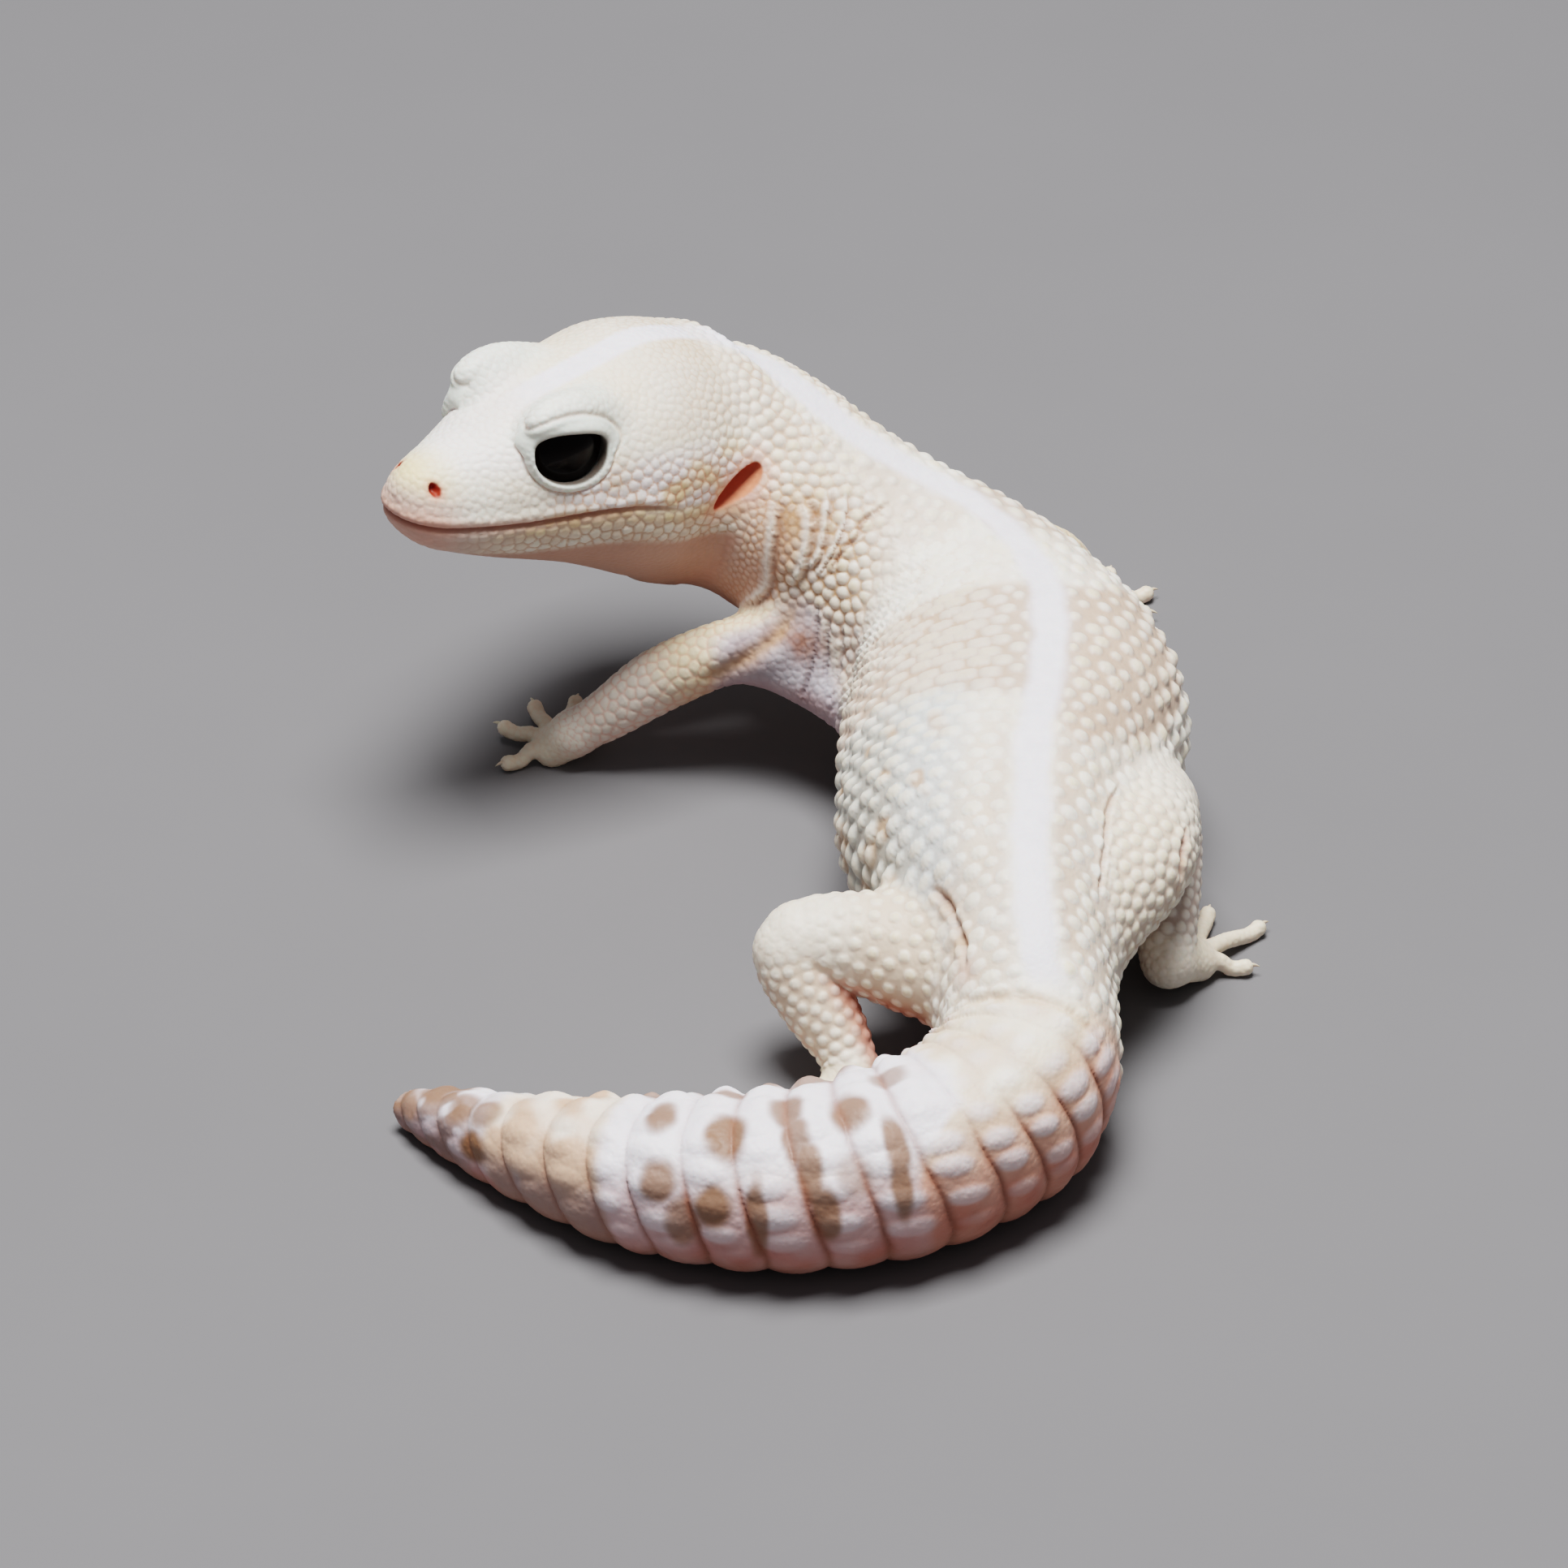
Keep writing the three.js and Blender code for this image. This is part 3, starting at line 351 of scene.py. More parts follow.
def chance(*places, seed=0):
    """A repeatable random number from 0 to 1 for whole-number places."""
    total = np.uint32(seed * 7919 + 17)
    for factor, place in zip((374761393, 668265263, 2246822519), places):
        total = total + np.asarray(place).astype(np.int64).astype(np.uint32) * np.uint32(factor)
    total = (total ^ (total >> np.uint32(13))) * np.uint32(1274126177)
    return (total ^ (total >> np.uint32(16))).astype(float) / 2**32


def from_corners(whole, t, value):
    """A function's value at each point, between those at the eight whole places round it."""
    total = np.zeros(len(t))
    for corner in np.ndindex(2, 2, 2):
        weight = np.prod(np.where(corner, t, 1 - t), axis=1)
        total += weight * value(*(whole + corner).T)
    return total


def noise(points, size, seed=0):
    """Smooth noise from -1 to 1 with lumps of about one size."""
    p = points / size
    whole = np.floor(p).astype(int)
    t = p - whole
    t = t * t * (3 - 2 * t)
    return 2 * from_corners(whole, t, lambda *places: chance(*places, seed=seed)) - 1


def smooth_min(a, b, blend):
    h = np.maximum(blend - np.abs(a - b), 0) / blend
    return np.minimum(a, b) - h * h * blend / 4


def curve(points, values, count):
    """A smooth chain through points, with the values beside them."""
    k = np.linspace(0, len(points) - 1, count)
    columns = np.array(points, float).T
    return np.stack([spline(column, k) for column in columns], -1), spline(values, k)


def search_tree(centres):
    tree = kdtree.KDTree(len(centres))
    for i, centre in enumerate(centres.tolist()):
        tree.insert(centre, i)
    tree.balance()
    return tree


def nearest(centres, points, count=1):
    """Indices and distances of the nearest centres of each point."""
    tree = search_tree(centres)
    found = [tree.find_n(p, count) for p in points.tolist()]
    index = np.array([[hit[1] for hit in hits] for hits in found])
    away = np.array([[hit[2] for hit in hits] for hits in found])
    return index, away


# ------------------------------------------------------------------ distances on a lattice
class Grid:
    """Signed distances at the points of a box of the common lattice."""

    def __init__(self, low, high):
        self.first = np.floor(np.array(low) / VOXEL).astype(int)
        self.shape = np.ceil(np.array(high) / VOXEL).astype(int) - self.first + 1
        self.d = np.full(self.shape, FAR, np.float32)

    def axes(self):
        lines = [(self.first[k] + np.arange(self.shape[k])) * VOXEL for k in range(3)]
        return np.ix_(*[line.astype(np.float32) for line in lines])

    def overlap(self, other):
        """The common part of two grids, as an index into each."""
        low = np.maximum(self.first, other.first)
        high = np.minimum(self.first + self.shape, other.first + other.shape)
        mine = tuple(slice(a, b) for a, b in zip(low - self.first, high - self.first))
        theirs = tuple(slice(a, b) for a, b in zip(low - other.first, high - other.first))
        return mine, theirs

    def join(self, other, blend):
        mine, theirs = self.overlap(other)
        self.d[mine] = smooth_min(self.d[mine], other.d[theirs], blend)

    def at(self, points):
        """Distances at any points, by the eight nearest lattice points."""
        place = points / VOXEL - self.first
        whole = np.floor(place).astype(int)
        inside = np.all((whole >= 0) & (whole < self.shape - 1), axis=1)
        whole, t = whole[inside], (place - whole)[inside]
        out = np.full(len(points), FAR)
        out[inside] = from_corners(whole, t, lambda *index: self.d[index])
        return out


def lattice(grid):
    """The transform from a grid's indices to millimetres."""
    x, y, z = (grid.first * VOXEL).tolist()
    v = VOXEL
    return vdb.createLinearTransform([[v, 0, 0, 0], [0, v, 0, 0], [0, 0, v, 0], [x, y, z, 1]])


def ring_faces(count, sides):
    """Quads between rings of points, and fans to the two end points listed after them."""
    i, j = np.meshgrid(np.arange(count - 1), np.arange(sides), indexing="ij")
    k = (j + 1) % sides
    quads = np.stack([i * sides + j, i * sides + k, (i + 1) * sides + k, (i + 1) * sides + j], -1)
    j, k = j[0], k[0]
    last = (count - 1) * sides
    middle = np.full(sides, count * sides)
    fans = [np.stack([middle, k, j], -1), np.stack([middle + 1, last + j, last + k], -1)]
    return quads.reshape(-1, 4), np.concatenate(fans)


def loft(rings, margin=2.5):
    """A grid of distances to the closed body through rings of points."""
    ends = [rings[0].mean(0)[None], rings[-1].mean(0)[None]]
    points = np.concatenate([rings.reshape(-1, 3), *ends]).astype(np.float32)
    quads, fans = ring_faces(*rings.shape[:2])
    grid = Grid(points.min(0) - margin, points.max(0) + margin)
    level = vdb.FloatGrid.createLevelSetFromPolygons(
        points,
        triangles=fans.astype(np.uint32),
        quads=quads.astype(np.uint32),
        transform=lattice(grid),
        halfWidth=FAR / VOXEL,
    )
    level.copyToArray(grid.d)
    return grid


def tube(path, radii):
    """A grid of distances to the tapered tube through a chain of points."""
    margin = max(radii) + FAR
    grid = Grid(path.min(0) - margin, path.max(0) + margin)
    x, y, z = grid.axes()
    for a, b, ra, rb in zip(path, path[1:], radii, radii[1:]):
        along = (b - a).astype(np.float32)
        t = (x - a[0]) * along[0] + (y - a[1]) * along[1] + (z - a[2]) * along[2]
        t = np.clip(t / (along @ along), 0, 1)
        away = (x - a[0] - t * along[0]) ** 2
        away = away + (y - a[1] - t * along[1]) ** 2 + (z - a[2] - t * along[2]) ** 2
        np.minimum(grid.d, np.sqrt(away) - (ra + (rb - ra) * t), out=grid.d)
    return grid


def ellipsoid(x, y, z, half):
    """About the distance to an ellipsoid, from coordinates in its own frame."""
    a = np.sqrt((x / half[0]) ** 2 + (y / half[1]) ** 2 + (z / half[2]) ** 2)
    b = np.sqrt((x / half[0] ** 2) ** 2 + (y / half[1] ** 2) ** 2 + (z / half[2] ** 2) ** 2)
    return a * (a - 1) / np.maximum(b, 1e-6)


# ------------------------------------------------------------------ the body
def ridge(index):
    return np.stack([spline(BODY_COLUMNS[k], index) for k in range(3)], -1)


def body_frame(index):
    """Centre, sideways and upward directions of the body's sections."""
    index = np.asarray(index, float)
    ahead, behind = np.minimum(index + FRAME_REACH, LAST), np.maximum(index - FRAME_REACH, 0)
    travel = unit(ridge(ahead) - ridge(behind))
    side = unit(np.cross(UP, travel))
    return ridge(index), side, np.cross(travel, side)


def section(angle, widths, heights, squareness):
    """Places round a squarish oval, from its two half widths, half heights and squarenesses."""
    c, s = np.cos(angle), np.sin(angle)
    power = 2 / np.where(s >= 0, *squareness)
    wide = np.sign(c) * np.abs(c) ** power * np.where(c > 0, *widths)
    high = np.sign(s) * np.abs(s) ** power * np.where(s >= 0, *heights)
    return wide, high


def body_surface(index, angle):
    """Points of the body: angle 0 is the animal's right and 90 degrees the ridge."""
    centre, side, up = body_frame(index)
    left, right, above, below = (spline(BODY_COLUMNS[k], index) for k in (3, 4, 5, 6))
    wide, high = section(angle, (right, left), (above, below), (SQUARE_ABOVE, SQUARE_BELOW))
    points = centre + side * wide[..., None] + up * high[..., None]
    points[..., 2] = np.maximum(points[..., 2], 0)
    return points


BODY_STEP, BODY_SIDES = 0.05, 120
BODY_INDEX = np.arange(0, LAST + BODY_STEP / 2, BODY_STEP)
BODY_ANGLE = -math.pi / 2 + 2 * math.pi * np.arange(BODY_SIDES) / BODY_SIDES
BODY_POINTS = body_surface(*np.meshgrid(BODY_INDEX, BODY_ANGLE, indexing="ij"))
RIDGE_COLUMN = BODY_SIDES // 2
# Length of the ridge up to each section.
RIDGE_ARC = np.append(0, np.cumsum(np.linalg.norm(np.diff(BODY_POINTS[:, RIDGE_COLUMN], axis=0), axis=1)))
# How much longer a step along the body is at each place than on the ridge.
STRETCH = np.linalg.norm(np.gradient(BODY_POINTS, axis=0), axis=2) / np.gradient(RIDGE_ARC)[:, None]


def across_arc():
    """How far each point lies from the ridge round its section, plus to the right."""
    steps = np.linalg.norm(np.diff(BODY_POINTS, axis=1), axis=2)
    total = np.concatenate([np.zeros((len(steps), 1)), np.cumsum(steps, axis=1)], axis=1)
    return total[:, [RIDGE_COLUMN]] - total


def body_places(at):
    """Adds station, angle, arcs along and across the back, and stretch."""
    flat = BODY_POINTS.reshape(-1, 3)
    found = nearest(flat, at.p)[0][:, 0]
    i, j = np.divmod(found, BODY_SIDES)
    along = np.gradient(BODY_POINTS, axis=0)[i, j]
    around = np.gradient(BODY_POINTS, axis=1)[i, j]
    off = at.p - flat[found]
    di = np.clip(np.sum(off * along, 1) / np.maximum(np.sum(along**2, 1), 1e-9), -1, 1)
    dj = np.clip(np.sum(off * around, 1) / np.maximum(np.sum(around**2, 1), 1e-9), -1, 1)
    i, j = np.clip(i + di, 0, len(BODY_INDEX) - 1), np.clip(j + dj, 0, BODY_SIDES - 1)

    def table(values):
        """A value of the table between its rows and columns."""
        i0, j0 = np.floor(i).astype(int), np.floor(j).astype(int)
        i1, j1 = np.minimum(i0 + 1, len(values) - 1), np.minimum(j0 + 1, BODY_SIDES - 1)
        ti, tj = i - i0, j - j0
        low = values[i0, j0] * (1 - tj) + values[i0, j1] * tj
        return low * (1 - ti) + (values[i1, j0] * (1 - tj) + values[i1, j1] * tj) * ti

    at.station = i * BODY_STEP
    at.angle = np.degrees(BODY_ANGLE[0]) + j * 360 / BODY_SIDES
    at.arc = np.interp(i, np.arange(len(RIDGE_ARC)), RIDGE_ARC)
    at.across = table(across_arc())
    at.stretch = table(STRETCH)


# ------------------------------------------------------------------ the head
def turn(axis, degrees):
    return np.array(Matrix.Rotation(math.radians(degrees), 3, axis))


HEAD_TURN = turn("Z", 180 + HEAD_YAW) @ turn("Y", -HEAD_PITCH)


def head_point(share, side):
    """A place on one side of the head, in millimetres of the head's own frame."""
    return np.array([share[0], share[1] * side, share[2]]) * HEAD_LENGTH


def head_rings(steps=8, sides=120):
    """Rings of points round the bare head, from its neck end to the tip of the snout."""
    rows = np.array(HEAD).T
    k = np.arange(0, (len(HEAD) - 1) * steps + 1) / steps
    x, z, half, above, below, square = (spline(row, k)[:, None] for row in rows)
    angle = 2 * math.pi * np.arange(sides)[None] / sides
    wide, high = section(angle, (half, half), (above, below), (square, HEAD_SQUARE_BELOW))
    rings = np.stack([x + 0 * wide, wide, z + high], -1) * HEAD_LENGTH
    return rings @ HEAD_TURN.T + HEAD_AT


def eye_frame(side):
    """Centre of an eye and its outward, level and high directions, in the head."""
    forward, up = math.radians(EYE_FORWARD), math.radians(EYE_UP)
    out = unit(np.array([math.sin(forward), side * math.cos(forward), math.sin(up)]))
    level = unit(np.cross(UP, out))
    return head_point(EYE_AT, side), np.stack([out, level, np.cross(out, level)])


def from_opening(level, high):
    """How far a place on the face of the eye lies outside the D of the open lids."""
    upper = high > 0
    tall = np.where(upper, OPENING_UP, OPENING_DOWN)
    power = np.where(upper, OPENING_SQUARE_UP, OPENING_SQUARE_DOWN)
    share = (np.abs(level / OPENING_HALF) ** power + np.abs(high / tall) ** power) ** (1 / power)
    reach = np.sqrt(level**2 + high**2)
    return reach - reach / np.maximum(share, 1e-3)


def lid_width(high):
    """The upper lid is broad and the lower one narrow."""
    return LOWER_LID + (UPPER_LID - LOWER_LID) * smooth(-0.4, 0.9, high)


def ball_distance(out, level, high, extra):
    """Distance to an eyeball that is larger all round by some extra."""
    across = EYE_ACROSS + extra
    return ellipsoid(out, level, high, (EYE_OUT + extra, across, across))


def eye_places(own, side):
    """Outward, level and high places round an eye, and distance to its covered ball."""
    centre, basis = eye_frame(side)
    local = [axis - c for axis, c in zip(own, centre)]
    out, level, high = (sum(a * b for a, b in zip(local, row)) for row in basis)
    return out, level, high, ball_distance(out, level, high, LID)


def ear_distance(own, side):
    x, y, z = (axis - c for axis, c in zip(own, head_point(EAR_AT, side)))
    lean = math.radians(EAR_LEAN)
    forward = x * math.cos(lean) + z * math.sin(lean)
    upward = z * math.cos(lean) - x * math.sin(lean)
    return ellipsoid(forward, y, upward, EAR_HALF)


def nostril_distance(own, side):
    x, y, z = (axis - c for axis, c in zip(own, head_point(NOSTRIL_AT, side)))
    return ellipsoid(x, y, z, NOSTRIL_HALF)


def head_grid():
    """The head with its brows and lids, and the hollows to be cut from it."""
    grid = loft(head_rings())
    shifted = [axis - c for axis, c in zip(grid.axes(), HEAD_AT)]
    own = [sum(a * t for a, t in zip(shifted, column)).astype(np.float32) for column in HEAD_TURN.T]
    hollows = []
    for side in (1, -1):
        out, level, high, shell = eye_places(own, side)
        brow = (axis - c for axis, c in zip(own, head_point(BROW_AT, side)))
        grid.d = smooth_min(grid.d, ellipsoid(*brow, BROW_HALF), BROW_BLEND)
        grid.d = smooth_min(grid.d, shell, EYE_BLEND)
        outside, wide = from_opening(level, high), lid_width(high) / 2
        rim = (np.sqrt(((outside - wide) / wide) ** 2 + (shell / LID_THICK) ** 2) - 1) * LID_THICK
        grid.d = smooth_min(grid.d, np.where(out > 0, rim, FAR), LID_BLEND)
        hollows += [np.maximum(outside, 0.7 - out), ball_distance(out, level, high, EYE_GAP)]
        hollows += [nostril_distance(own, side), ear_distance(own, side)]
    return grid, hollows


# ------------------------------------------------------------------ the limbs
def toe_path(palm, tip):
    """Start, knuckle, pad and end of a toe, bent up at the knuckle."""
    palm, tip = np.array(palm), np.array(tip)
    flat = (tip - palm) * (1, 1, 0)
    way = unit(flat)
    knuckle, pad, end = palm + flat * 0.42, tip - way * 1.5, tip - way * 0.55
    knuckle[2], pad[2], end[2] = 1.15, max(tip[2] * 0.8, 0.48), max(tip[2], 0.5)
    return [palm + way * 0.3 - UP * 0.25, knuckle, pad, end]


def together(grids, blends):
    """One grid that holds several, joined smoothly."""
    low = np.min([g.first for g in grids], axis=0)
    high = np.max([g.first + g.shape - 1 for g in grids], axis=0)
    whole = Grid((low + 0.5) * VOXEL, (high - 0.5) * VOXEL)
    for grid, blend in zip(grids, blends):
        whole.join(grid, blend)
    return whole


def limb_grids(limb):
    """The distances to a limb's tube, and to its sole and toes."""
    leg = tube(*curve(limb["joints"], limb["radii"], 22))
    wrist, palm = np.array(limb["joints"][-1]), np.array(limb["palm"])
    side = np.cross(UP, unit((palm - wrist) * (1, 1, 0)))
    sole = [tube(np.array([wrist, palm]), [1.35, 1.3])]
    for way in (-1, 1):
        edge = [wrist + side * way * 0.3, palm + side * way * 0.75 - UP * 0.25]
        sole.append(tube(np.array(edge), [1.1, 1.05]))
    thick = np.array([1.2, 1.0, 0.92, 0.98]) * TOE_RADIUS
    toes = [tube(*curve(toe_path(palm, tip), thick, 9)) for tip in limb["toes"]]
    return leg, together(sole + toes, [SOLE_BLEND] * len(sole) + [TOE_BLEND] * len(toes))


# ------------------------------------------------------------------ one skin
def joined():
    """The whole animal's distances, and those of its parts."""
    parts = {"body": loft(BODY_POINTS)}
    parts["head"], hollows = head_grid()
    total = Grid((-29, -58, -1.5), (36, 30, 33))
    total.join(parts["body"], HARD)
    total.join(parts["head"], HEAD_BLEND)
    for name, limb in LIMBS.items():
        leg, foot = limb_grids(limb)
        total.join(leg, LIMB_BLEND)
        total.join(foot, FOOT_BLEND)
        parts[name] = together([leg, foot], [HARD, FOOT_BLEND])
    web_points, web_radii = zip(*WEB)
    total.join(tube(*curve(web_points, web_radii, 12)), WEB_BLEND)
    mine, theirs = total.overlap(parts["head"])
    for hollow in hollows:
        total.d[mine] = -smooth_min(-total.d[mine], hollow[theirs], HOLLOW_BLEND)
    total.d = np.maximum(total.d, -total.axes()[2])
    return total, parts


def surface(grid):
    """Points and faces where a grid's distance is nought."""
    level = vdb.FloatGrid(FAR)
    level.copyFromArray(np.ascontiguousarray(np.clip(grid.d, -FAR, FAR)), tolerance=0.0)
    level.transform = lattice(grid)
    points, triangles, quads = level.convertToPolygons(0.0, 0.0)
    return points.astype(float), triangles.tolist() + quads.tolist()


def eye_offset():
    """From the pose frame to the part's frame, by the place of the left eye."""
    low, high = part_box("eye_left")
    centre, _ = eye_frame(1)
    return (np.array(low) + np.array(high)) / 2 / MM - (centre @ HEAD_TURN.T + HEAD_AT)


OFFSET = eye_offset()


def mesh_object(name, points, faces, tint, material, slot, *nodes):
    """A smooth-shaded painted piece, from points in millimetres of the pose frame."""
    mesh = bpy.data.meshes.new(name)
    mesh.from_pydata(((points + OFFSET) * MM).tolist(), [], faces)
    mesh.update()
    mesh.shade_smooth()
    layer = mesh.color_attributes.new("Tint", "FLOAT_COLOR", "POINT")
    layer.data.foreach_set("color", np.column_stack([tint, np.ones(len(tint))]).ravel())
    mesh.materials.append(material)
    obj = bpy.data.objects.new(name, mesh)
    bpy.context.collection.objects.link(obj)
    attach(obj, "root")
    if nodes:
        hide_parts(*nodes)
    return obj


def normals_of(points, faces):
    mesh = bpy.data.meshes.new("probe")
    mesh.from_pydata(points.tolist(), [], faces)
    normals = np.zeros(len(points) * 3, np.float32)
    mesh.vertex_normals.foreach_get("vector", normals)
    bpy.data.meshes.remove(mesh)
    return normals.reshape(-1, 3).astype(float)


# ------------------------------------------------------------------ where each point lies
def survey(points, parts):
    """Where every point of the skin lies on the body, the head and the limbs."""
    at = SimpleNamespace(p=points, count=len(points))
    body_places(at)
    at.own = ((points - HEAD_AT) @ HEAD_TURN).T
    at.hx, at.hy, at.hz = at.own / HEAD_LENGTH
    near_head = parts["head"].at(points)
    trunk = np.minimum(parts["body"].at(points), near_head)
    at.on_head = smooth(-2.8, 0.6, at.own[0]) * (1 - smooth(0.8, 2.2, near_head))
    # Share of limb in the skin, how many joints down from its first, and which limb it is.
    at.limb, at.joint, which = np.zeros(at.count), np.zeros(at.count), np.full(at.count, -1)
    for k, (name, limb) in enumerate(LIMBS.items()):
        weight = smooth(-0.9, 0.7, trunk - parts[name].at(points))
        mine = np.nonzero(weight > at.limb)[0]
        path, joint = curve(limb["joints"] + [limb["palm"]], np.arange(8.0), 71)
        away = np.linalg.norm(points[mine][:, None] - path[None], axis=2)
        at.limb[mine], which[mine] = weight[mine], k
        at.joint[mine] = joint[np.argmin(away, axis=1)]
    share = {name: at.limb * (which == k) for k, name in enumerate(LIMBS)}
    at.left_leg, at.right_leg = share["leg_left"], share["leg_right"]
    at.leg, at.arm = at.left_leg + at.right_leg, share["arm_left"] + share["arm_right"]
    at.on_head *= 1 - at.limb
    at.on_trunk = (1 - at.on_head) * (1 - at.limb)
    at.under = within(-200, -25, at.angle, 30) + smooth(195, 225, at.angle)
    at.stripe_off = np.abs(at.across - along_table(STRIPE_SWAY, at.station))
    at.lip = (at.hz - along_table(MOUTH, at.hx)) * HEAD_LENGTH
    # Shares of the low, brick-like scales and of the crowded ones on the inside of the bend.
    at.paved = within(5.0, 9.3, at.station, 1.4) * smooth(-1.2, -4.0, at.across)
    at.paved = at.paved * smooth(-12.0, -8.5, at.across) * at.on_trunk
    at.crowded = smooth(5.4, 4.0, at.station + 0.12 * (at.across + 8)) * smooth(-2.2, -4.2, at.across)
    at.crowded = at.crowded * at.on_trunk
    # The loose, finely scaled skin of the sides of the neck.
    at.loose = smooth(0.05, -0.03, at.hx) * smooth(-0.03, -0.09, at.hz) * smooth(3.6, 3.0, at.station)
    at.loose = at.loose * smooth(0.64, 0.56, np.abs(at.hy)) * (1 - at.limb)
    return at


# ------------------------------------------------------------------ scales and folds
def back_beads(at):
    """The back's tubercles: height from 0 to 1 and a random number for each."""
    best, luck = np.zeros(at.count), np.zeros(at.count)
    some = np.nonzero(at.on_trunk * (at.station < 15) > 0.01)[0]
    arc, across, paved = at.arc[some], at.across[some], at.paved[some]
    stretch = np.clip(at.stretch[some], 0.5, 1.35)
    inner = smooth(-1, -7, across)
    long, wide = 0.46 * ROW * stretch, 0.6 + 0.14 * inner
    row_here = np.round(arc / ROW).astype(int)
    for row in (row_here - 1, row_here, row_here + 1):
        shift = (row % 2) * 0.5
        column_here = np.round(across / COLUMN - shift).astype(int)
        for column in (column_here - 1, column_here, column_here + 1):
            jump, slide, size, luck_here = (chance(row, column, seed=k) for k in (1, 2, 3, 4))
            size = 0.84 + 0.46 * size
            da = (arc - (row + (jump - 0.5) * 0.36) * ROW) * stretch
            du = across - (column + shift + (slide - 0.5) * 0.3) * COLUMN
            q = (da / (long * size)) ** 2 + (du / (wide * size)) ** 2
            bead = np.clip(1 - q, 0, 1) ** 1.3 * size
            q = np.abs(da / (0.56 * ROW * stretch)) ** 3 + np.abs(du / (0.54 * COLUMN)) ** 3
            brick = np.clip(1 - q, 0, 1) ** 0.8 * (0.6 + 0.25 * size)
            height = bead + (brick - bead) * paved
            higher = height > best[some]
            best[some] = np.where(higher, height, best[some])
            luck[some] = np.where(higher, luck_here, luck[some])
    keep = smooth(STRIPE_HALF - 0.15, STRIPE_HALF + 0.6, at.stripe_off)
    keep = keep * within(2.4, 14.2, at.station, 1.2) * (1 - 0.85 * at.under) * at.on_trunk
    return best * keep * (1 - at.loose) * (1 - at.crowded), luck


def bead_height(at):
    """How high the back's tubercles stand, in millimetres: low in the middle."""
    edge = np.maximum(smooth(-8.5, -12.5, at.across), smooth(7.5, 10.5, at.across))
    front = smooth(6.5, 3.5, at.station) * smooth(-1.5, -5.0, at.across)
    fine = within(9.8, 13.6, at.station, 1.2) * smooth(6.5, 3.5, at.stripe_off)
    return (0.2 + 0.14 * edge + 0.07 * front) * (1 - 0.2 * fine) * np.clip(at.stretch, 0.8, 1)


def scale_plan(at):
    """Spacing, roundness, height and radius of the scales that aren't in the back's rows."""
    head, neck = at.on_head, at.on_trunk * smooth(3.6, 2.4, at.station)
    # Each zone's share of the skin, and the four values that hold where it is 1. Later zones
    # cover earlier ones, and a radius of None stays as it is.
    zones = [
        (head, 0.6, 0.3, 0.05, None),
        (head * smooth(0.12, 0.02, at.hz) * smooth(0.7, 0.5, at.hx), 0.76, 0.65, 0.1, 0.5),
        (head * smooth(0.2, 0.02, at.hx) * smooth(0.24, 0.16, at.hz), 0.78, 0.7, 0.12, 0.5),
        (head * within(-2.4, -0.1, at.lip, 0.3) * smooth(0.9, 0.78, at.hx), 0.88, 0.45, 0.11, None),
        (head * smooth(-2.0, -3.2, at.lip), 0.5, 0.2, 0.035, None),
        (neck, 0.85, 0.8, 0.15, 0.5),
        (at.crowded * smooth(205, 180, at.angle), 0.95, 0.9, 0.24, 0.54),
        (neck * smooth(205, 235, at.angle), 0.5, 0.3, 0.05, None),
        (at.loose, 0.5, 0.3, 0.035, 0.47),
        (at.on_trunk * (at.station > 3) * at.under, 0.6, 0.1, 0.04, None),
        (at.arm, 0.62, 0.2, 0.05, None),
        (at.arm * within(2.6, 5.3, at.joint, 0.5), 0.85, 0.35, 0.09, None),
        (at.left_leg, 1.35, 1.0, 0.17, 0.36),
        (at.right_leg, 1.1, 1.0, 0.2, 0.5),
        (at.leg * within(2.5, 3.5, at.joint, 0.6), 0.8, 0.3, 0.035, 0.47),
        (at.leg * within(3.5, 5.2, at.joint, 0.5), 0.92, 0.9, 0.14, 0.47),
        (at.limb * smooth(5.2, 6.2, at.joint), 0.5, 0.1, 0.035, None),
        (at.on_trunk * smooth(13.6, 14.4, at.station), 0.7, 0.3, 0.022, 0.47),
    ]
    plan = [np.full(at.count, start) for start in (0.8, 0.3, 0.08, 0.47)]
    for weight, *goals in zones:
        for values, goal in zip(plan, goals):
            if goal is not None:
                values += (goal - values) * np.clip(weight, 0, 1)
    return plan


def spread(points, gap, rounds=2):
    """Centres over the points of a surface, spaced by the gap that each place asks for."""
    tree = search_tree(points)
    listed, cleared = points.tolist(), (0.82 * gap).tolist()
    free = np.ones(len(points), bool)
    chosen = []
    for i in np.random.default_rng(5).permutation(len(points)).tolist():
        if free[i]:
            chosen.append(i)
            free[[hit[1] for hit in tree.find_range(listed[i], cleared[i])]] = False
    centres = points[chosen]
    for _ in range(rounds):
        owner = nearest(centres, points)[0][:, 0]
        total = np.stack([np.bincount(owner, column, len(centres)) for column in points.T], 1)
        held = np.bincount(owner, minlength=len(centres))[:, None]
        centres = np.where(held > 0, total / np.maximum(held, 1), centres)
    return centres


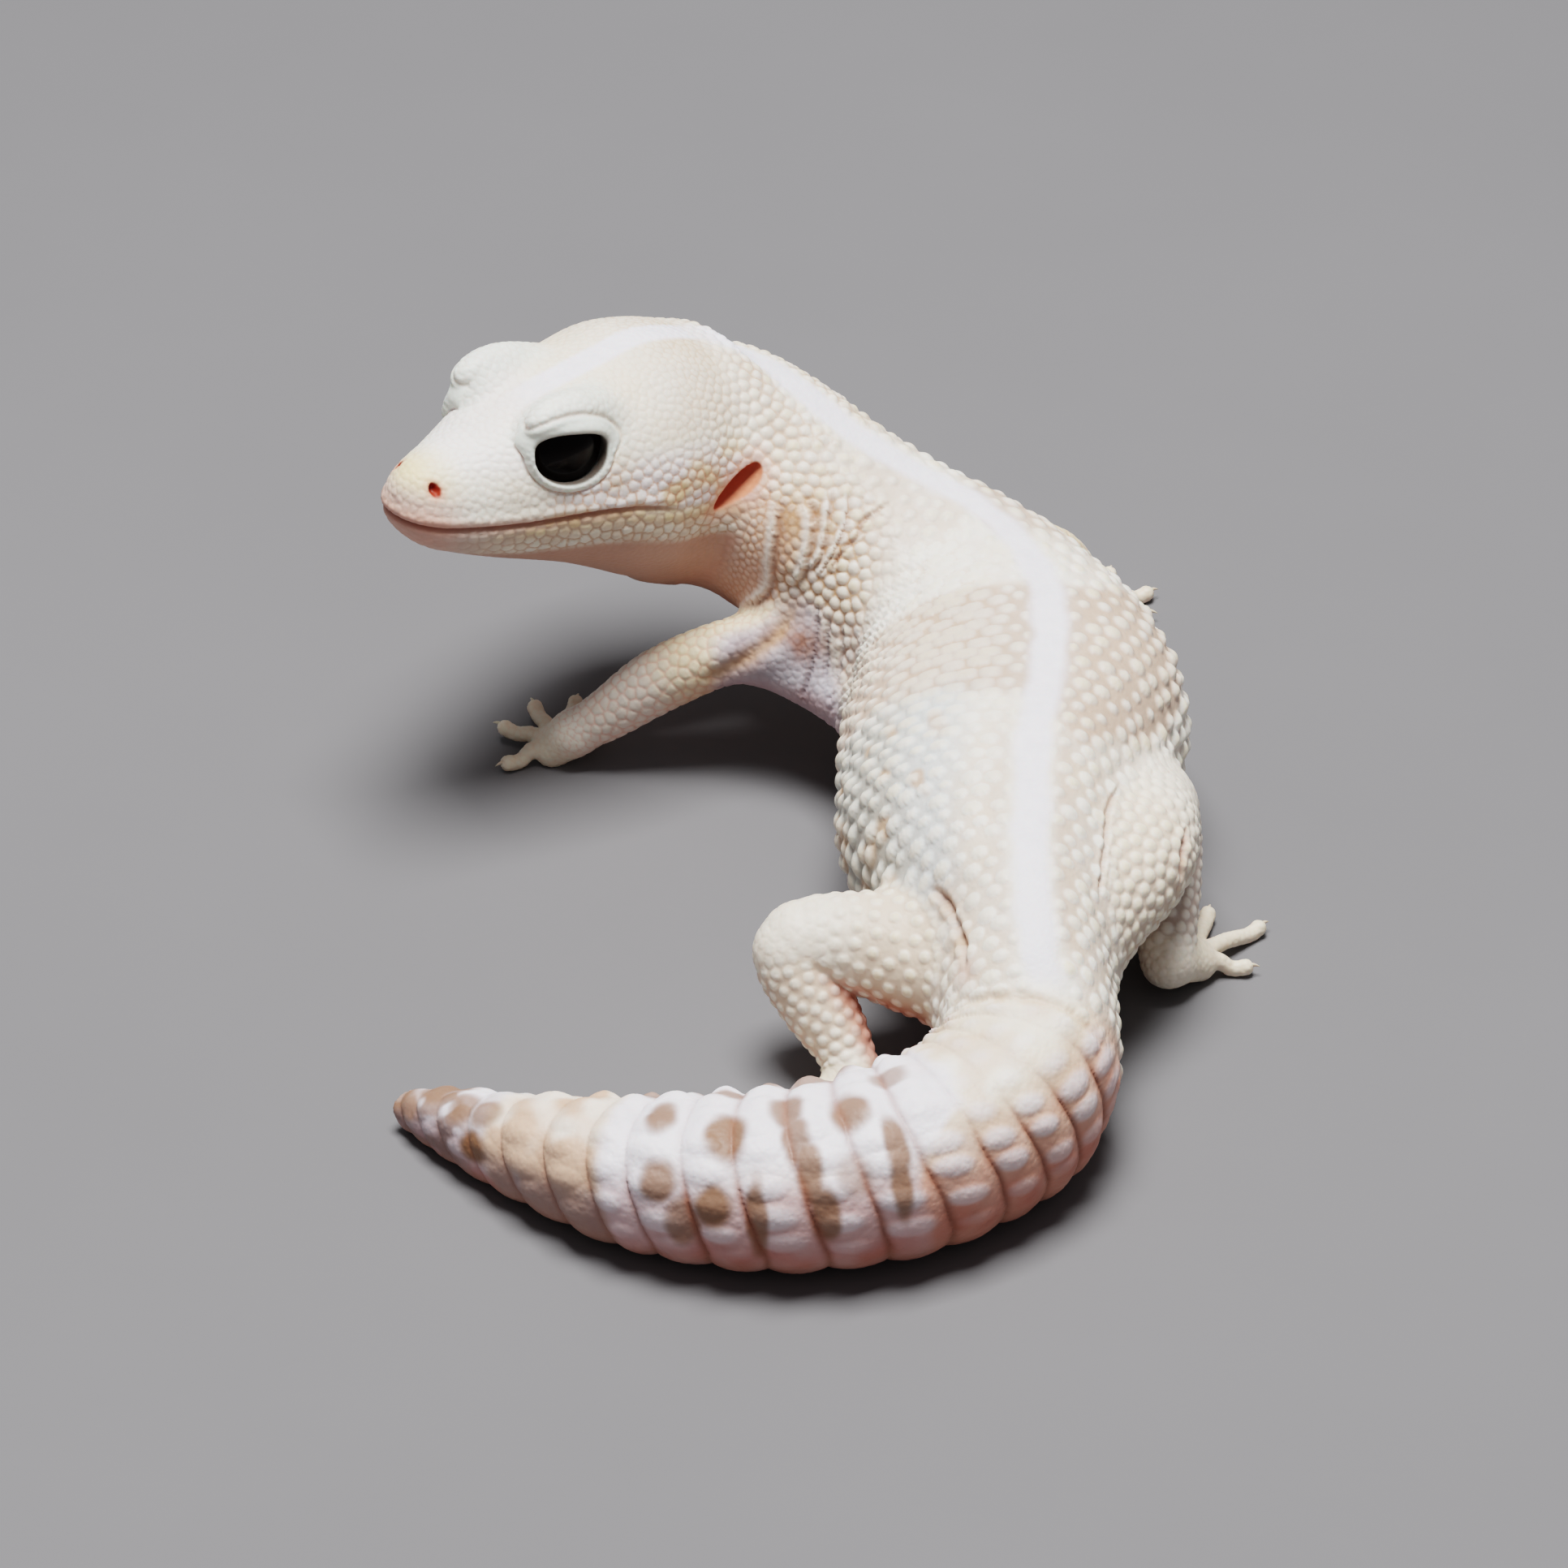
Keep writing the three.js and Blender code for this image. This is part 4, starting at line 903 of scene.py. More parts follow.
def cobbles(at):
    """Free scales: their height in millimetres, how deep in a groove, how near a top."""
    gap, dome, height, radius = scale_plan(at)
    raised, groove, top, luck = (np.zeros(at.count) for _ in range(4))
    on_stripe = smooth(STRIPE_HALF + 0.3, STRIPE_HALF - 0.2, at.stripe_off) * (at.station > 1.0)
    weight = 1 - at.on_trunk * within(3.0, 13.9, at.station, 1.0) * (1 - at.under)
    weight = np.clip(np.maximum(weight, at.crowded), 0, 1) * (1 - 0.9 * on_stripe * at.on_trunk)
    some = np.nonzero(weight > 0.02)[0]
    points = at.p[some]
    centres = spread(points, gap[some])
    owner, away = nearest(centres, points, 2)
    edge = (away[:, 1] - away[:, 0]) / gap[some]
    plate = smooth(0.0, 0.34, edge)
    q = away[:, 0] / (radius[some] * gap[some])
    bead = np.clip(1 - q**2, 0, 1) ** 1.1
    share = dome[some]
    raised[some] = (plate * (1 - share) + bead * share) * height[some] * weight[some]
    groove[some] = (1 - smooth(0.0, 0.26, edge)) * weight[some]
    top[some] = bead
    luck[some] = chance(owner[:, 0], seed=9)
    return raised, groove, top, luck


def tail_rings(at):
    """The tail's rings: height in millimetres, depth of groove, and tubercles."""
    lean = RING_LEAN * np.clip(np.sin(np.radians(at.angle)), -0.3, 1)
    place = at.station - lean * smooth(14.2, 16, at.station)
    starts = np.array(RINGS)
    ring = np.clip(np.searchsorted(starts, place) - 1, 0, len(starts) - 2)
    t = np.clip((place - starts[ring]) / (starts[ring + 1] - starts[ring]), 0, 1)
    t = np.clip(t + 0.05 * noise(at.p, 2.2, 31), 0, 1)
    bulge = np.sin(math.pi * t) ** 0.7
    on_top = within(48, 150, at.angle, 40)
    early = smooth(17.2, 16.0, at.station)
    size = RING_HEIGHT * (1 - 0.6 * on_top * early) * smooth(13.8, 14.6, at.station)
    size = size * (1 - 0.65 * smooth(21.5, 24, at.station)) * (1 - at.limb)
    groove = (1 - smooth(0.05, 0.6, bulge)) * size / RING_HEIGHT
    column = at.across / KNOB_PITCH + 0.5 * (ring % 2)
    whole = np.round(column)
    slide = (chance(ring, whole, seed=6) - 0.5) * 0.3
    girth = 0.75 + 0.4 * chance(ring, whole, seed=7)
    q = ((column - whole - slide) * KNOB_PITCH) ** 2 + ((t - 0.6) / 0.5) ** 2
    knob = np.clip(1 - q / girth, 0, 1) ** 1.4 * smooth(13.9, 14.5, at.station)
    knob = knob * (1 - 0.8 * smooth(205, 230, at.angle)) * (1 - 0.8 * smooth(-5, -30, at.angle))
    knob = knob * (1 - 0.5 * smooth(21, 24, at.station)) * (1 - 0.65 * on_top * early)
    left_side = within(125, 215, at.angle, 30)
    raised = size * (bulge - 0.6) + knob * (0.2 + 0.25 * left_side)
    return raised * at.on_trunk, groove * at.on_trunk, knob * at.on_trunk


def beside(at, places):
    """The points near a line on the skin: which, how far, how far behind, and a taper."""
    path, part = curve(places, np.linspace(0, 1, len(places)), 12 * len(places))
    low, high = path.min(0) - 3, path.max(0) + 3
    some = np.nonzero(np.all((at.p > low) & (at.p < high), axis=1))[0]
    foot = nearest(at.p[some], path)[0][:, 0]
    on_skin, normal = at.p[some][foot], at.normal[some][foot]
    aside = unit(np.cross(normal, np.gradient(path, axis=0)))
    owner, away = nearest(on_skin, at.p[some])
    owner = owner[:, 0]
    behind = np.sum((at.p[some] - on_skin[owner]) * aside[owner], axis=1)
    end = np.minimum(part[owner], 1 - part[owner])
    return some, away[:, 0], behind, smooth(0.0, 0.22, end + 0.03)


def neck_flaps(at):
    """Soft folds of the neck: height in millimetres, and the edges that get a painted highlight and the
    hollows that get painted shadow.
    """
    height, edge, hollow = (np.zeros(at.count) for _ in range(3))
    for size, high, places in FLAPS:
        some, away, behind, taper = beside(at, places)
        d = behind / size
        near = taper * smooth(2.6, 1.6, np.abs(d)) * (away < 3 * size)
        swell = np.exp(np.minimum(d, 0) / 0.9) * smooth(0.4, -0.05, d)
        height[some] += high * near * (0.7 * swell - 0.35 * bump(d, 0.45, 0.35))
        edge[some] = np.maximum(edge[some], near * bump(d, -0.15, 0.3))
        fading = smooth(0.05, 0.4, d) * np.exp(-np.maximum(d - 0.4, 0) / 0.5)
        hollow[some] = np.maximum(hollow[some], near * fading)
    return height, edge, hollow


def crease_field(at):
    """Depth in millimetres of the creases of the skin, and their paint, which is painted shade along
    them.
    """
    dent = np.zeros(at.count)
    paint = []
    for width, depth, strength, name, places in CREASES.values():
        some, away, _, taper = beside(at, places)
        d = away / (width * (0.55 + 0.45 * taper))
        dent[some] -= depth * taper * (bump(d, 0, 1) - 0.3 * bump(d, 2.3, 1.1))
        paint.append((some, strength * taper * bump(d, 0, 1.25), name))
    return dent, paint


def head_relief(at):
    """The mouth: height of its slit and lips in millimetres, and the share of slit."""
    onto = at.on_head * smooth(MOUTH_CORNER - 0.06, MOUTH_CORNER + 0.05, at.hx)
    slit = bump(at.lip, 0, 0.17) * onto
    upper, lower = bump(at.lip, 0.55, 0.42) * onto, bump(at.lip, -0.6, 0.4) * onto
    return -0.28 * slit + 0.14 * upper + 0.04 * lower, slit


def lids(at):
    """For both eyes: place across the lid from 0 to 1, and the rim's small scales."""
    across, teeth = np.full(at.count, 9.0), np.zeros(at.count)
    for side in (1, -1):
        out, level, high, shell = eye_places(at.own, side)
        outside = from_opening(level, high)
        here = (out > 0.4) & (np.abs(shell) < 1.2) & (outside < 3)
        share = outside / lid_width(high)
        across = np.where(here, share, across)
        wave = np.cos(np.arctan2(high, level) * LID_TEETH) * smooth(0.9, -0.3, high)
        teeth = np.where(here, wave * within(0.55, 1.05, share, 0.3), teeth)
    return across, teeth


def lid_relief(share):
    """The swelling of the lids' rims and the fine furrow round them, in millimetres."""
    return 0.1 * within(0.2, 1.05, share, 0.35) - 0.11 * bump(share, LID_FURROW, 0.14)


# ------------------------------------------------------------------ the markings
def trunk_tan(at):
    """Share of tan in the skin of the back: two broad bands and the stripe's borders."""
    s, u = at.station + 0.14 * noise(at.p, 2.6, 11), at.across
    left = smooth(0.4, -0.4, u)
    first_start = np.where(u < 0, 3.3, 4.5)
    first_end = np.where(u < 0, np.interp(u, (-10, -6, -2), (4.5, 4.75, 5.1)), 5.9)
    second_start = np.interp(u, (-14, -10.6, -3, 0, 3, 9, 11), (6.3, 6.4, 6.9, 7.0, 7.25, 6.85, 7.3))
    second_end = np.interp(
        u, (-13, -8, -3, 0, 2.6, 7.5, 11.3, 12.4), (8.75, 9.0, 9.2, 9.3, 9.85, 9.25, 8.6, 7.75))
    first = within(first_start, first_end, s, 0.45) * (0.75 - 0.25 * left)
    second = within(second_start, second_end, s, 0.3)
    third = within(4.5, 6.0, s, 0.4) * (1 - left) * 0.5
    border = bump(at.stripe_off, 2.0, 0.8) * within(9.6, 13.2, s, 0.8)
    border = border * (0.45 + 0.25 * (1 - left))
    fade = 1 - 0.8 * smooth(198, 214, at.angle)
    return np.maximum.reduce([first, second, third, border]) * fade


def paint_trunk(at, tint, bead, luck):
    """Tan bands, grey flank, pale tubercles on ochre skin, and the white stripe, with painted shade low
    on the left flank and underneath.
    """
    left = smooth(0.4, -0.4, at.across)
    soft = noise(at.p, 1.6, 3)
    mix(tint, "cream", 0.2 + 0.25 * soft)
    mix(tint, "tan", trunk_tan(at) * 0.95)
    flank = left * within(8.9, 12.0, at.station, 0.7) * smooth(-3.5, -7, at.across)
    mix(tint, "bluish", flank * 0.8)
    # Painted shade: the lower left flank turns a darker grey over its own bluish grey.
    mix(tint, "grey", flank * smooth(-7, -12, at.across) * 0.75)
    low = smooth(188, 205, at.angle) * within(5, 13, at.station, 1.5)
    mix(tint, "lavender", low * 0.7)
    mix(tint, "purple grey", low * (0.25 + 0.25 * soft))
    specks = flank * smooth(-4.5, -7.5, at.across) * smooth(0.1, 0.5, noise(at.p, 1.7, 8))
    mix(tint, "ochre", specks * 0.6)
    between = (1 - smooth(0, 0.35, bead)) * smooth(1.2, 3, at.stripe_off)
    hips = smooth(9.4, 10.6, at.station)
    ochre = 0.14 + 0.1 * (1 - left) + 0.16 * hips + 0.14 * at.paved
    mix(tint, "ochre", between * ochre * (1 - 0.6 * flank) * (1 - at.crowded))
    mix(tint, "warm white", smooth(0.0, 0.85, bead) * (0.62 - 0.2 * at.paved))
    mix(tint, "yellow", smooth(0.3, 0.9, bead) * (0.05 + 0.35 * luck * (1 - 0.5 * left)))
    edge = at.stripe_off + 0.2 * soft
    stripe = within(-1, 13.75, at.station, 0.7) * smooth(STRIPE_HALF + 0.5, STRIPE_HALF - 0.5, edge)
    mix(tint, "stripe", stripe)
    # Painted shade on the underside.
    mix(tint, "underside shade", at.under * 0.35)


def paint_neck(at, tint, groove, top, luck):
    """Pale and yellow beads on tan and ochre skin, with the stripe left free."""
    neck = at.on_trunk * np.maximum(smooth(4.6, 2.4, at.station), at.crowded)
    off = neck * smooth(0.8, 2.2, at.stripe_off)
    side = smooth(115, 150, at.angle)
    low = smooth(195, 230, at.angle)
    mix(tint, "tan", off * 0.55 * (1 + 0.6 * noise(at.p, 2.4, 14)))
    mix(tint, "ochre", off * (smooth(140, 180, at.angle) + smooth(10, -25, at.angle)) * 0.45)
    # Painted shade on the underside of the neck.
    mix(tint, "underside shade", neck * low * 0.8)
    mix(tint, "ochre", off * groove * (0.5 + 0.4 * side))
    mix(tint, "warm white", off * (1 - low) * smooth(0.05, 0.6, top) * (0.5 + 0.15 * side))
    mix(tint, "yellow", off * (1 - low) * top * luck * 0.5)


def paint_folds(at, tint, top, edge, hollow):
    """The loose skin of the neck with its patches, a painted highlight on the folds' edges, painted
    shadow in their hollows, and painted shade under the neck.
    """
    mix(tint, "pink", at.loose * 0.35)
    # Painted shade on the lower part of the loose skin.
    mix(tint, "underside shade", at.loose * smooth(-0.16, -0.3, at.hz) * 0.6)
    for place, radius, strength, name in PATCHES:
        share = bump(np.linalg.norm(at.p - place, axis=1), 0, radius)
        mix(tint, name, strength * share * (1 - 0.4 * top))
    # Painted shadow in the hollow behind each fold.
    mix(tint, "crease shade", hollow * (1 - at.on_head) * 0.5)
    # Painted highlight along each fold's edge.
    mix(tint, "warm white", edge * (1 - at.on_head) * 0.6)


def paint_head(at, tint, groove, slit, luck):
    """White crown, yellow and pink cheeks and snout, and painted shade in pinkish brown under the jaw."""
    head, lip = at.on_head, at.lip
    x, z, side = at.hx, at.hz, np.abs(at.hy)
    cloud = noise(at.p, 2.6, 23)
    mix(tint, "head", head)
    mix(tint, "cream", head * (0.38 + 0.35 * cloud) * smooth(0.85, 0.55, x))
    mix(tint, "tan", head * smooth(0.45, 0.05, x) * smooth(0.06, 0.16, z) * 0.42)
    mix(tint, "ochre", head * groove * smooth(0.3, 0.05, x) * 0.35)
    mix(tint, "stripe", head * within(0.5, 0.84, x, 0.12) * smooth(0.0, 0.08, z) * 0.45)
    brow = head * within(0.38, 0.7, x, 0.1) * within(0.1, 0.4, z, 0.06)
    mix(tint, "lid", brow * smooth(0.05, 0.11, side) * 0.75)
    temple = head * within(0.08, 0.36, x, 0.1) * within(0.0, 0.09, z, 0.06)
    mix(tint, "stripe", temple * 0.45)
    rear = head * smooth(0.3, 0.1, x) * within(-0.2, 0.02, z, 0.08) * smooth(-2.5, -0.5, lip)
    mix(tint, "ochre", rear * (0.4 + 0.3 * noise(at.p, 2.0, 21)))
    cheek = head * smooth(0.1, 0.0, z) * smooth(0.66, 0.5, x) * smooth(-0.2, 0.5, lip)
    patch = smooth(-0.1, 0.5, noise(at.p, 1.9, 24))
    mix(tint, "yellow", cheek * (0.2 + 0.7 * patch) * (0.5 + 0.5 * luck))
    mix(tint, "ochre", cheek * (0.12 * patch + groove * (0.3 + 0.35 * patch)))
    mix(tint, "pink", cheek * (0.12 + 0.4 * groove))
    mix(tint, "stripe", cheek * (1 - patch) * (1 - groove) * 0.6)
    jaw = head * within(-2.7, -0.05, lip, 0.5)
    # Painted shade below the mouth line.
    mix(tint, "underside shade", head * smooth(0.0, -1.2, lip) * 0.65)
    scaled = jaw * smooth(0.84, 0.6, x) * (1 - groove)
    mix(tint, "yellow", scaled * (0.25 + 0.45 * luck))
    mix(tint, "warm white", scaled * smooth(-0.6, -1.5, lip) * (0.3 + 0.5 * luck))
    mix(tint, "ochre", jaw * groove * smooth(0.84, 0.6, x) * 0.3)
    # Painted shade under the jaw.
    mix(tint, "underside shade", head * smooth(-2.0, -3.2, lip) * 0.8)
    mix(tint, "raw pink", head * bump(lip, -0.3, 0.3) * smooth(0.3, 0.4, x) * 0.4)
    front = head * smooth(0.78, 0.92, x)
    mix(tint, "yellow", front * smooth(-0.06, 0.02, z) * 0.8)
    mix(tint, "pink", front * smooth(0.02, -0.09, z) * 0.65)
    mix(tint, "pink", head * bump(lip, 0.3, 0.4) * smooth(0.45, 0.8, x) * 0.55)
    mix(tint, "ochre", head * groove * 0.16)
    # The mouth's slit: its reddish line, then painted shade inside it.
    mix(tint, "raw pink", slit * 0.6)
    mix(tint, "crease shade", slit * (0.6 - 0.4 * smooth(0.5, 0.3, x)))
    stripe = head * smooth(1.25, 0.75, np.abs(at.own[1] - 0.35)) * smooth(0.66, 0.45, x)
    mix(tint, "stripe", stripe * smooth(0.1, 0.16, z))


def paint_openings(at, tint, lid_share):
    """Nostrils, ears and eyelids, with painted shade deep in the ears, in the furrow round the lids, and
    on the lids' inner edge over their own dark margin.
    """
    for side in (1, -1):
        nostril, ear = nostril_distance(at.own, side), ear_distance(at.own, side)
        mix(tint, "pink", at.on_head * smooth(0.5, 0.1, nostril) * 0.5)
        mix(tint, "red", smooth(0.12, 0.0, nostril) * (np.abs(nostril) < 1))
        mix(tint, "pink", smooth(1.3, 0.2, ear) * 0.45)
        mix(tint, "ear", smooth(0.16, 0.0, ear))
        # Painted shade deep inside the ear.
        mix(tint, "crease shade", smooth(-0.4, -0.8, ear) * 0.4)
    mix(tint, "lid", smooth(1.12, 0.98, lid_share) * 0.9)
    uneven = 0.5 + 0.5 * noise(at.p, 0.9, 41)
    # Painted shade in the furrow round the lids.
    mix(tint, "tan skin", bump(lid_share, LID_FURROW, 0.12) * (0.15 + 0.3 * uneven))
    # The lids' dark inner margin, with painted shade on their inner wall.
    mix(tint, "brown", smooth(0.3, 0.0, lid_share) * 0.9)


def paint_limbs(at, tint, groove, top, luck):
    """Pale limbs with yellowish arms and ochre thighs, with painted shade in pink and ochre on their
    undersides and inside the lower left leg.
    """
    joint, facing_up = at.joint, at.normal[:, 2]
    mix(tint, "warm white", at.limb * 0.8)
    mix(tint, "cream", at.limb * 0.4)
    bare = 1 - smooth(0.1, 0.5, top)
    # Skin facing down (low) is painted pinker and browner as painted shade.
    low = smooth(0.2, -0.6, facing_up)
    thigh = at.leg * smooth(2.6, 1.8, joint)
    # Ochre between the thigh's beads, deeper on its underside as painted shade.
    mix(tint, "ochre", thigh * bare * (0.35 + 0.35 * low))
    mix(tint, "yellow", thigh * smooth(0.4, 0.9, top) * 0.35)
    shank = within(3.3, 5.4, joint, 0.5)
    mix(tint, "ochre", at.leg * shank * bare * 0.35)
    # Painted shade under the shanks.
    mix(tint, "pink", at.leg * shank * bare * low * 0.5)
    mix(tint, "purple grey", at.right_leg * shank * (0.5 - 0.35 * top))
    # Painted shade on the inside of the lower left leg.
    inside = at.left_leg * smooth(0.1, 0.8, at.normal[:, 0]) * smooth(3.3, 3.8, joint)
    mix(tint, "raw pink", inside * 0.8)
    # Painted shade on the underside of the left thigh.
    behind = at.left_leg * smooth(0.0, -0.7, facing_up) * smooth(2.8, 2.0, joint)
    mix(tint, "raw pink", behind * 0.75)
    mix(tint, "tan", at.arm * within(2.8, 5.4, joint, 0.8) * 0.35)
    mix(tint, "yellow", at.arm * within(0.6, 3.8, joint, 0.8) * (0.35 + 0.3 * luck))
    # Painted shade on the undersides of the arms.
    mix(tint, "ochre", at.arm * low * smooth(4.5, 3.0, joint) * 0.5)
    mix(tint, "pink", at.arm * groove * 0.5)
    mix(tint, "pink", at.arm * low * 0.35)
    mix(tint, "cream", at.limb * smooth(5.6, 6.6, joint) * 0.7)
    mix(tint, "warm white", at.limb * luck * top * 0.25)


def paint_armpit(at, tint):
    """The bluish, finely pleated skin between the left arm and the chest."""
    x, y, z = at.p.T
    facing_back = -at.normal[:, 1] - 0.2 * at.normal[:, 2]
    pocket = within(-4.5, 5.6, x, 2.0) * smooth(2.6, 0.8, y) * smooth(-6.5, -2.5, y)
    pocket = pocket * smooth(15.6, 13.4, z) * smooth(-0.3, 0.5, facing_back)
    pocket = pocket * np.clip(smooth(4.0, 1.5, x + 0.35 * (z - 12)) + 0.2, 0, 1)
    shade_blotches = smooth(0.1, 0.7, noise(at.p, 1.2, 45)) * smooth(9.5, 11.5, z)
    mix(tint, "lavender", pocket * 0.85)
    mix(tint, "bluish", pocket * 0.35)
    mix(tint, "purple grey", pocket * (0.15 + 0.3 * noise(at.p, 1.4, 44)))
    # Painted shade in blotches on the upper part of the pocket.
    mix(tint, "crease shade", pocket * shade_blotches * 0.4)
    mix(tint, "raw pink", pocket * smooth(9.6, 8.0, z) * 0.3)


def paint_tail(at, tint, ring_groove, knob):
    """A cream root, white rings with brown spots, a cream band, and a brown tip, with painted shade in
    raw pink and purple grey on the lower right side, in the rings' grooves and underneath.
    """
    s, angle = at.station, at.angle
    tail = at.on_trunk * smooth(13.7, 14.3, s)
    right = smooth(62, 22, angle)
    soft = noise(at.p, 1.3, 51)
    mix(tint, "cream", tail * 0.4 * (1 + 0.5 * soft) * smooth(17, 16, s))
    mix(tint, "pink", tail * right * smooth(21.5, 19, s) * (0.55 + 0.3 * soft))
    # Painted shade: the lower right side darkened to a raw pink.
    mix(tint, "raw pink", tail * smooth(25, -10, angle) * smooth(21.5, 19, s) * 0.55)
    white_from = 16.25 + 0.9 * smooth(75, 35, angle) + 0.12 * soft
    white = tail * smooth(white_from, white_from + 0.25, s)
    mix(tint, "tail white", white * (1 - 0.55 * right * smooth(20.5, 19, s)))
    mix(tint, "lavender", white * smooth(50, 10, angle) * 0.4)
    mix(tint, "tan skin", tail * smooth(17, 16, s) * smooth(-0.1, 0.5, noise(at.p, 2.0, 54)) * 0.35)
    mix(tint, "pink", tail * smooth(45, 5, angle) * 0.35)
    # Painted shade along the lower right side, with the reddish light bounced under the tail.
    mix(tint, "raw pink", tail * smooth(12, -22, angle) * (0.65 + 0.3 * soft))
    mix(tint, "tail white", tail * smooth(0.0, 0.7, knob) * 0.6 * smooth(-20, 15, angle))
    cream = tail * within(20.95, 22.75, s - 0.15 * np.sin(np.radians(angle)), 0.25)
    mix(tint, "cream", cream * 0.65 * smooth(-10, 30, angle))
    tanned = smooth(-0.4, 0.4, noise(at.p, 1.7, 52) + 0.9 * smooth(75, 25, angle))
    mix(tint, "tan skin", cream * tanned * 0.8)
    # Painted shade on the lower side of the cream band.
    mix(tint, "purple grey", cream * smooth(30, -5, angle) * 0.55)
    tip = tail * smooth(22.7, 23.6, s)
    mix(tint, "spot", tip * smooth(-0.3, 0.2, noise(at.p, 0.9, 53)) * 0.8)
    mix(tint, "purple grey", tip * smooth(70, 20, angle) * 0.5)
    mix(tint, "spot", tail * spot_field(at))
    # The rings' grooves in brown, stronger on the right side: their own colour with painted shade.
    banded = within(16.8, 19.6, s, 0.5)
    deep = ring_groove * np.maximum(0.25 + 0.75 * right, 0.6 * banded) * (1 - 0.5 * smooth(19.8, 21, s))
    mix(tint, "groove", tail * deep * 0.8)
    # Painted shade underneath.
    mix(tint, "underside shade", tail * at.under * 0.6)


def spot_field(at):
    """Share of brown in the tail's skin from its rough-edged oval spots."""
    total = np.zeros(at.count)
    rough = 0.45 * noise(at.p, 1.1, 61)
    for station, angle, half_long, half_wide, strength in SPOTS:
        centre = body_surface(np.array([station]), np.radians([angle]))[0]
        _, side, up = body_frame(station)
        way = np.cross(side, up)
        off = at.p - centre
        along = off @ way
        away = np.linalg.norm(off - along[:, None] * way, axis=1)
        q = (along / (half_long * SPOT_REACH)) ** 2 + (away / (half_wide * SPOT_REACH)) ** 2
        total = np.maximum(total, strength * smooth(2.2, 0.5, q + rough))
    return total


def mix(tint, name, amount):
    """Moves a tint towards a named colour."""
    tint += (PAINT[name] - tint) * np.clip(amount, 0, 1)[:, None]


# ------------------------------------------------------------------ the materials
class Nodes:
    """A material under construction: makes nodes and links by name."""

    def __init__(self, name):
        self.material = bpy.data.materials.new(name)
        self.material.use_nodes = True
        self.tree = self.material.node_tree
        self.shader = self.tree.nodes["Principled BSDF"]
        self.place = self.add("TexCoord").outputs["Object"]

    def add(self, kind, **inputs):
        node = self.tree.nodes.new("ShaderNode" + kind)
        self.fill(node, inputs)
        return node

    def tint(self):
        """The colour painted on the mesh."""
        node = self.add("VertexColor")
        node.layer_name = "Tint"
        return node.outputs[0]

    def fill(self, node, inputs):
        """Sets or links inputs by their names, or by numbers such as i6."""
        for name, value in inputs.items():
            socket = node.inputs[int(name[1:]) if name[1:].isdigit() else name]
            if isinstance(value, bpy.types.NodeSocket):
                self.tree.links.new(value, socket)
            else:
                socket.default_value = value

    def mix(self, kind, amount, a, b):
        """A colour mixed from two by an amount."""
        node = self.tree.nodes.new("ShaderNodeMix")
        node.data_type, node.blend_type = "RGBA", kind
        self.fill(node, {"i0": amount, "i6": a, "i7": b})
        return node.outputs[2]

    def noise(self, scale, detail, roughness=0.5):
        """Noise over the object's own space, in lumps per metre."""
        node = self.add("TexNoise", Vector=self.place, Scale=scale, Detail=detail, Roughness=roughness)
        return node.outputs[0]

    def remap(self, value, low, high, start, end):
        """Maps a value from one range to another."""
        node = self.add("MapRange", Value=value)
        self.fill(node, {"From Min": low, "From Max": high, "To Min": start, "To Max": end})
        return node.outputs[0]


def colour(name):
    return (*PAINT[name].tolist(), 1.0)


def skin_material():
    """The painted skin with a fine mottle, grains and pores."""
    nodes = Nodes("skin")
    mottle, fine = nodes.noise(900.0, 4.0, 0.6), nodes.noise(5200.0, 3.0)
    grains = nodes.add("TexVoronoi", Vector=nodes.place, Scale=3000.0)
    grains.feature = "SMOOTH_F1"
    shade = nodes.remap(mottle, 0.3, 0.7, 0.95, 1.04)
    shades = nodes.add("CombineColor", Red=shade, Green=shade, Blue=shade).outputs[0]
    granules = nodes.add("Bump", Strength=0.35, Distance=0.00009, Height=grains.outputs["Distance"])
    granules.invert = True
    pores = nodes.add("Bump", Strength=0.25, Distance=0.00003, Height=fine, Normal=granules.outputs[0])
    nodes.fill(nodes.shader, {
        "Base Color": nodes.mix("MULTIPLY", 1.0, nodes.tint(), shades),
        "Roughness": nodes.remap(mottle, 0.3, 0.7, 0.42, 0.58),
        "IOR": 1.42,
        "Subsurface Weight": 0.18,
        "Subsurface Radius": (1.0, 0.45, 0.3),
        "Subsurface Scale": 0.0009,
        "Normal": pores.outputs[0],
    })
    return nodes.material


def eye_material():
    """A dark, glossy ball with darker fibres in its iris."""
    nodes = Nodes("eye")
    fibres = nodes.remap(nodes.noise(2600.0, 3.0), 0.45, 0.75, 0.0, 0.5)
    nodes.fill(nodes.shader, {
        "Base Color": nodes.mix("MIX", fibres, nodes.tint(), colour("eye")),
        "Roughness": 0.22,
        "IOR": 1.38,
        "Specular IOR Level": 0.1,
        "Coat Weight": 0.06,
        "Coat Roughness": 0.02,
    })
    return nodes.material


def claw_material():
    """Pale horn with tan streaks."""
    nodes = Nodes("claw")
    streaks = nodes.remap(nodes.noise(4000.0, 2.0), 0.3, 0.7, 0.0, 0.3)
    nodes.fill(nodes.shader, {
        "Base Color": nodes.mix("MIX", streaks, nodes.tint(), colour("tan")),
        "Roughness": 0.35,
        "Subsurface Weight": 0.2,
        "Subsurface Scale": 0.0004,
    })
    return nodes.material


def floor_material():
    """Grey paper, slightly cloudy and gritty."""
    nodes = Nodes("floor")
    clouds = nodes.remap(nodes.noise(14.0, 6.0, 0.6), 0.35, 0.75, 0.0, 0.6)
    pale = tuple(np.append(PAINT["floor"] * 1.12, 1.0).tolist())
    grit = nodes.add("Bump", Strength=0.1, Distance=0.0001, Height=nodes.noise(900.0, 3.0))
    nodes.fill(nodes.shader, {
        "Base Color": nodes.mix("MIX", clouds, colour("floor"), pale),
        "Roughness": 0.7,
        "Normal": grit.outputs[0],
    })
    return nodes.material


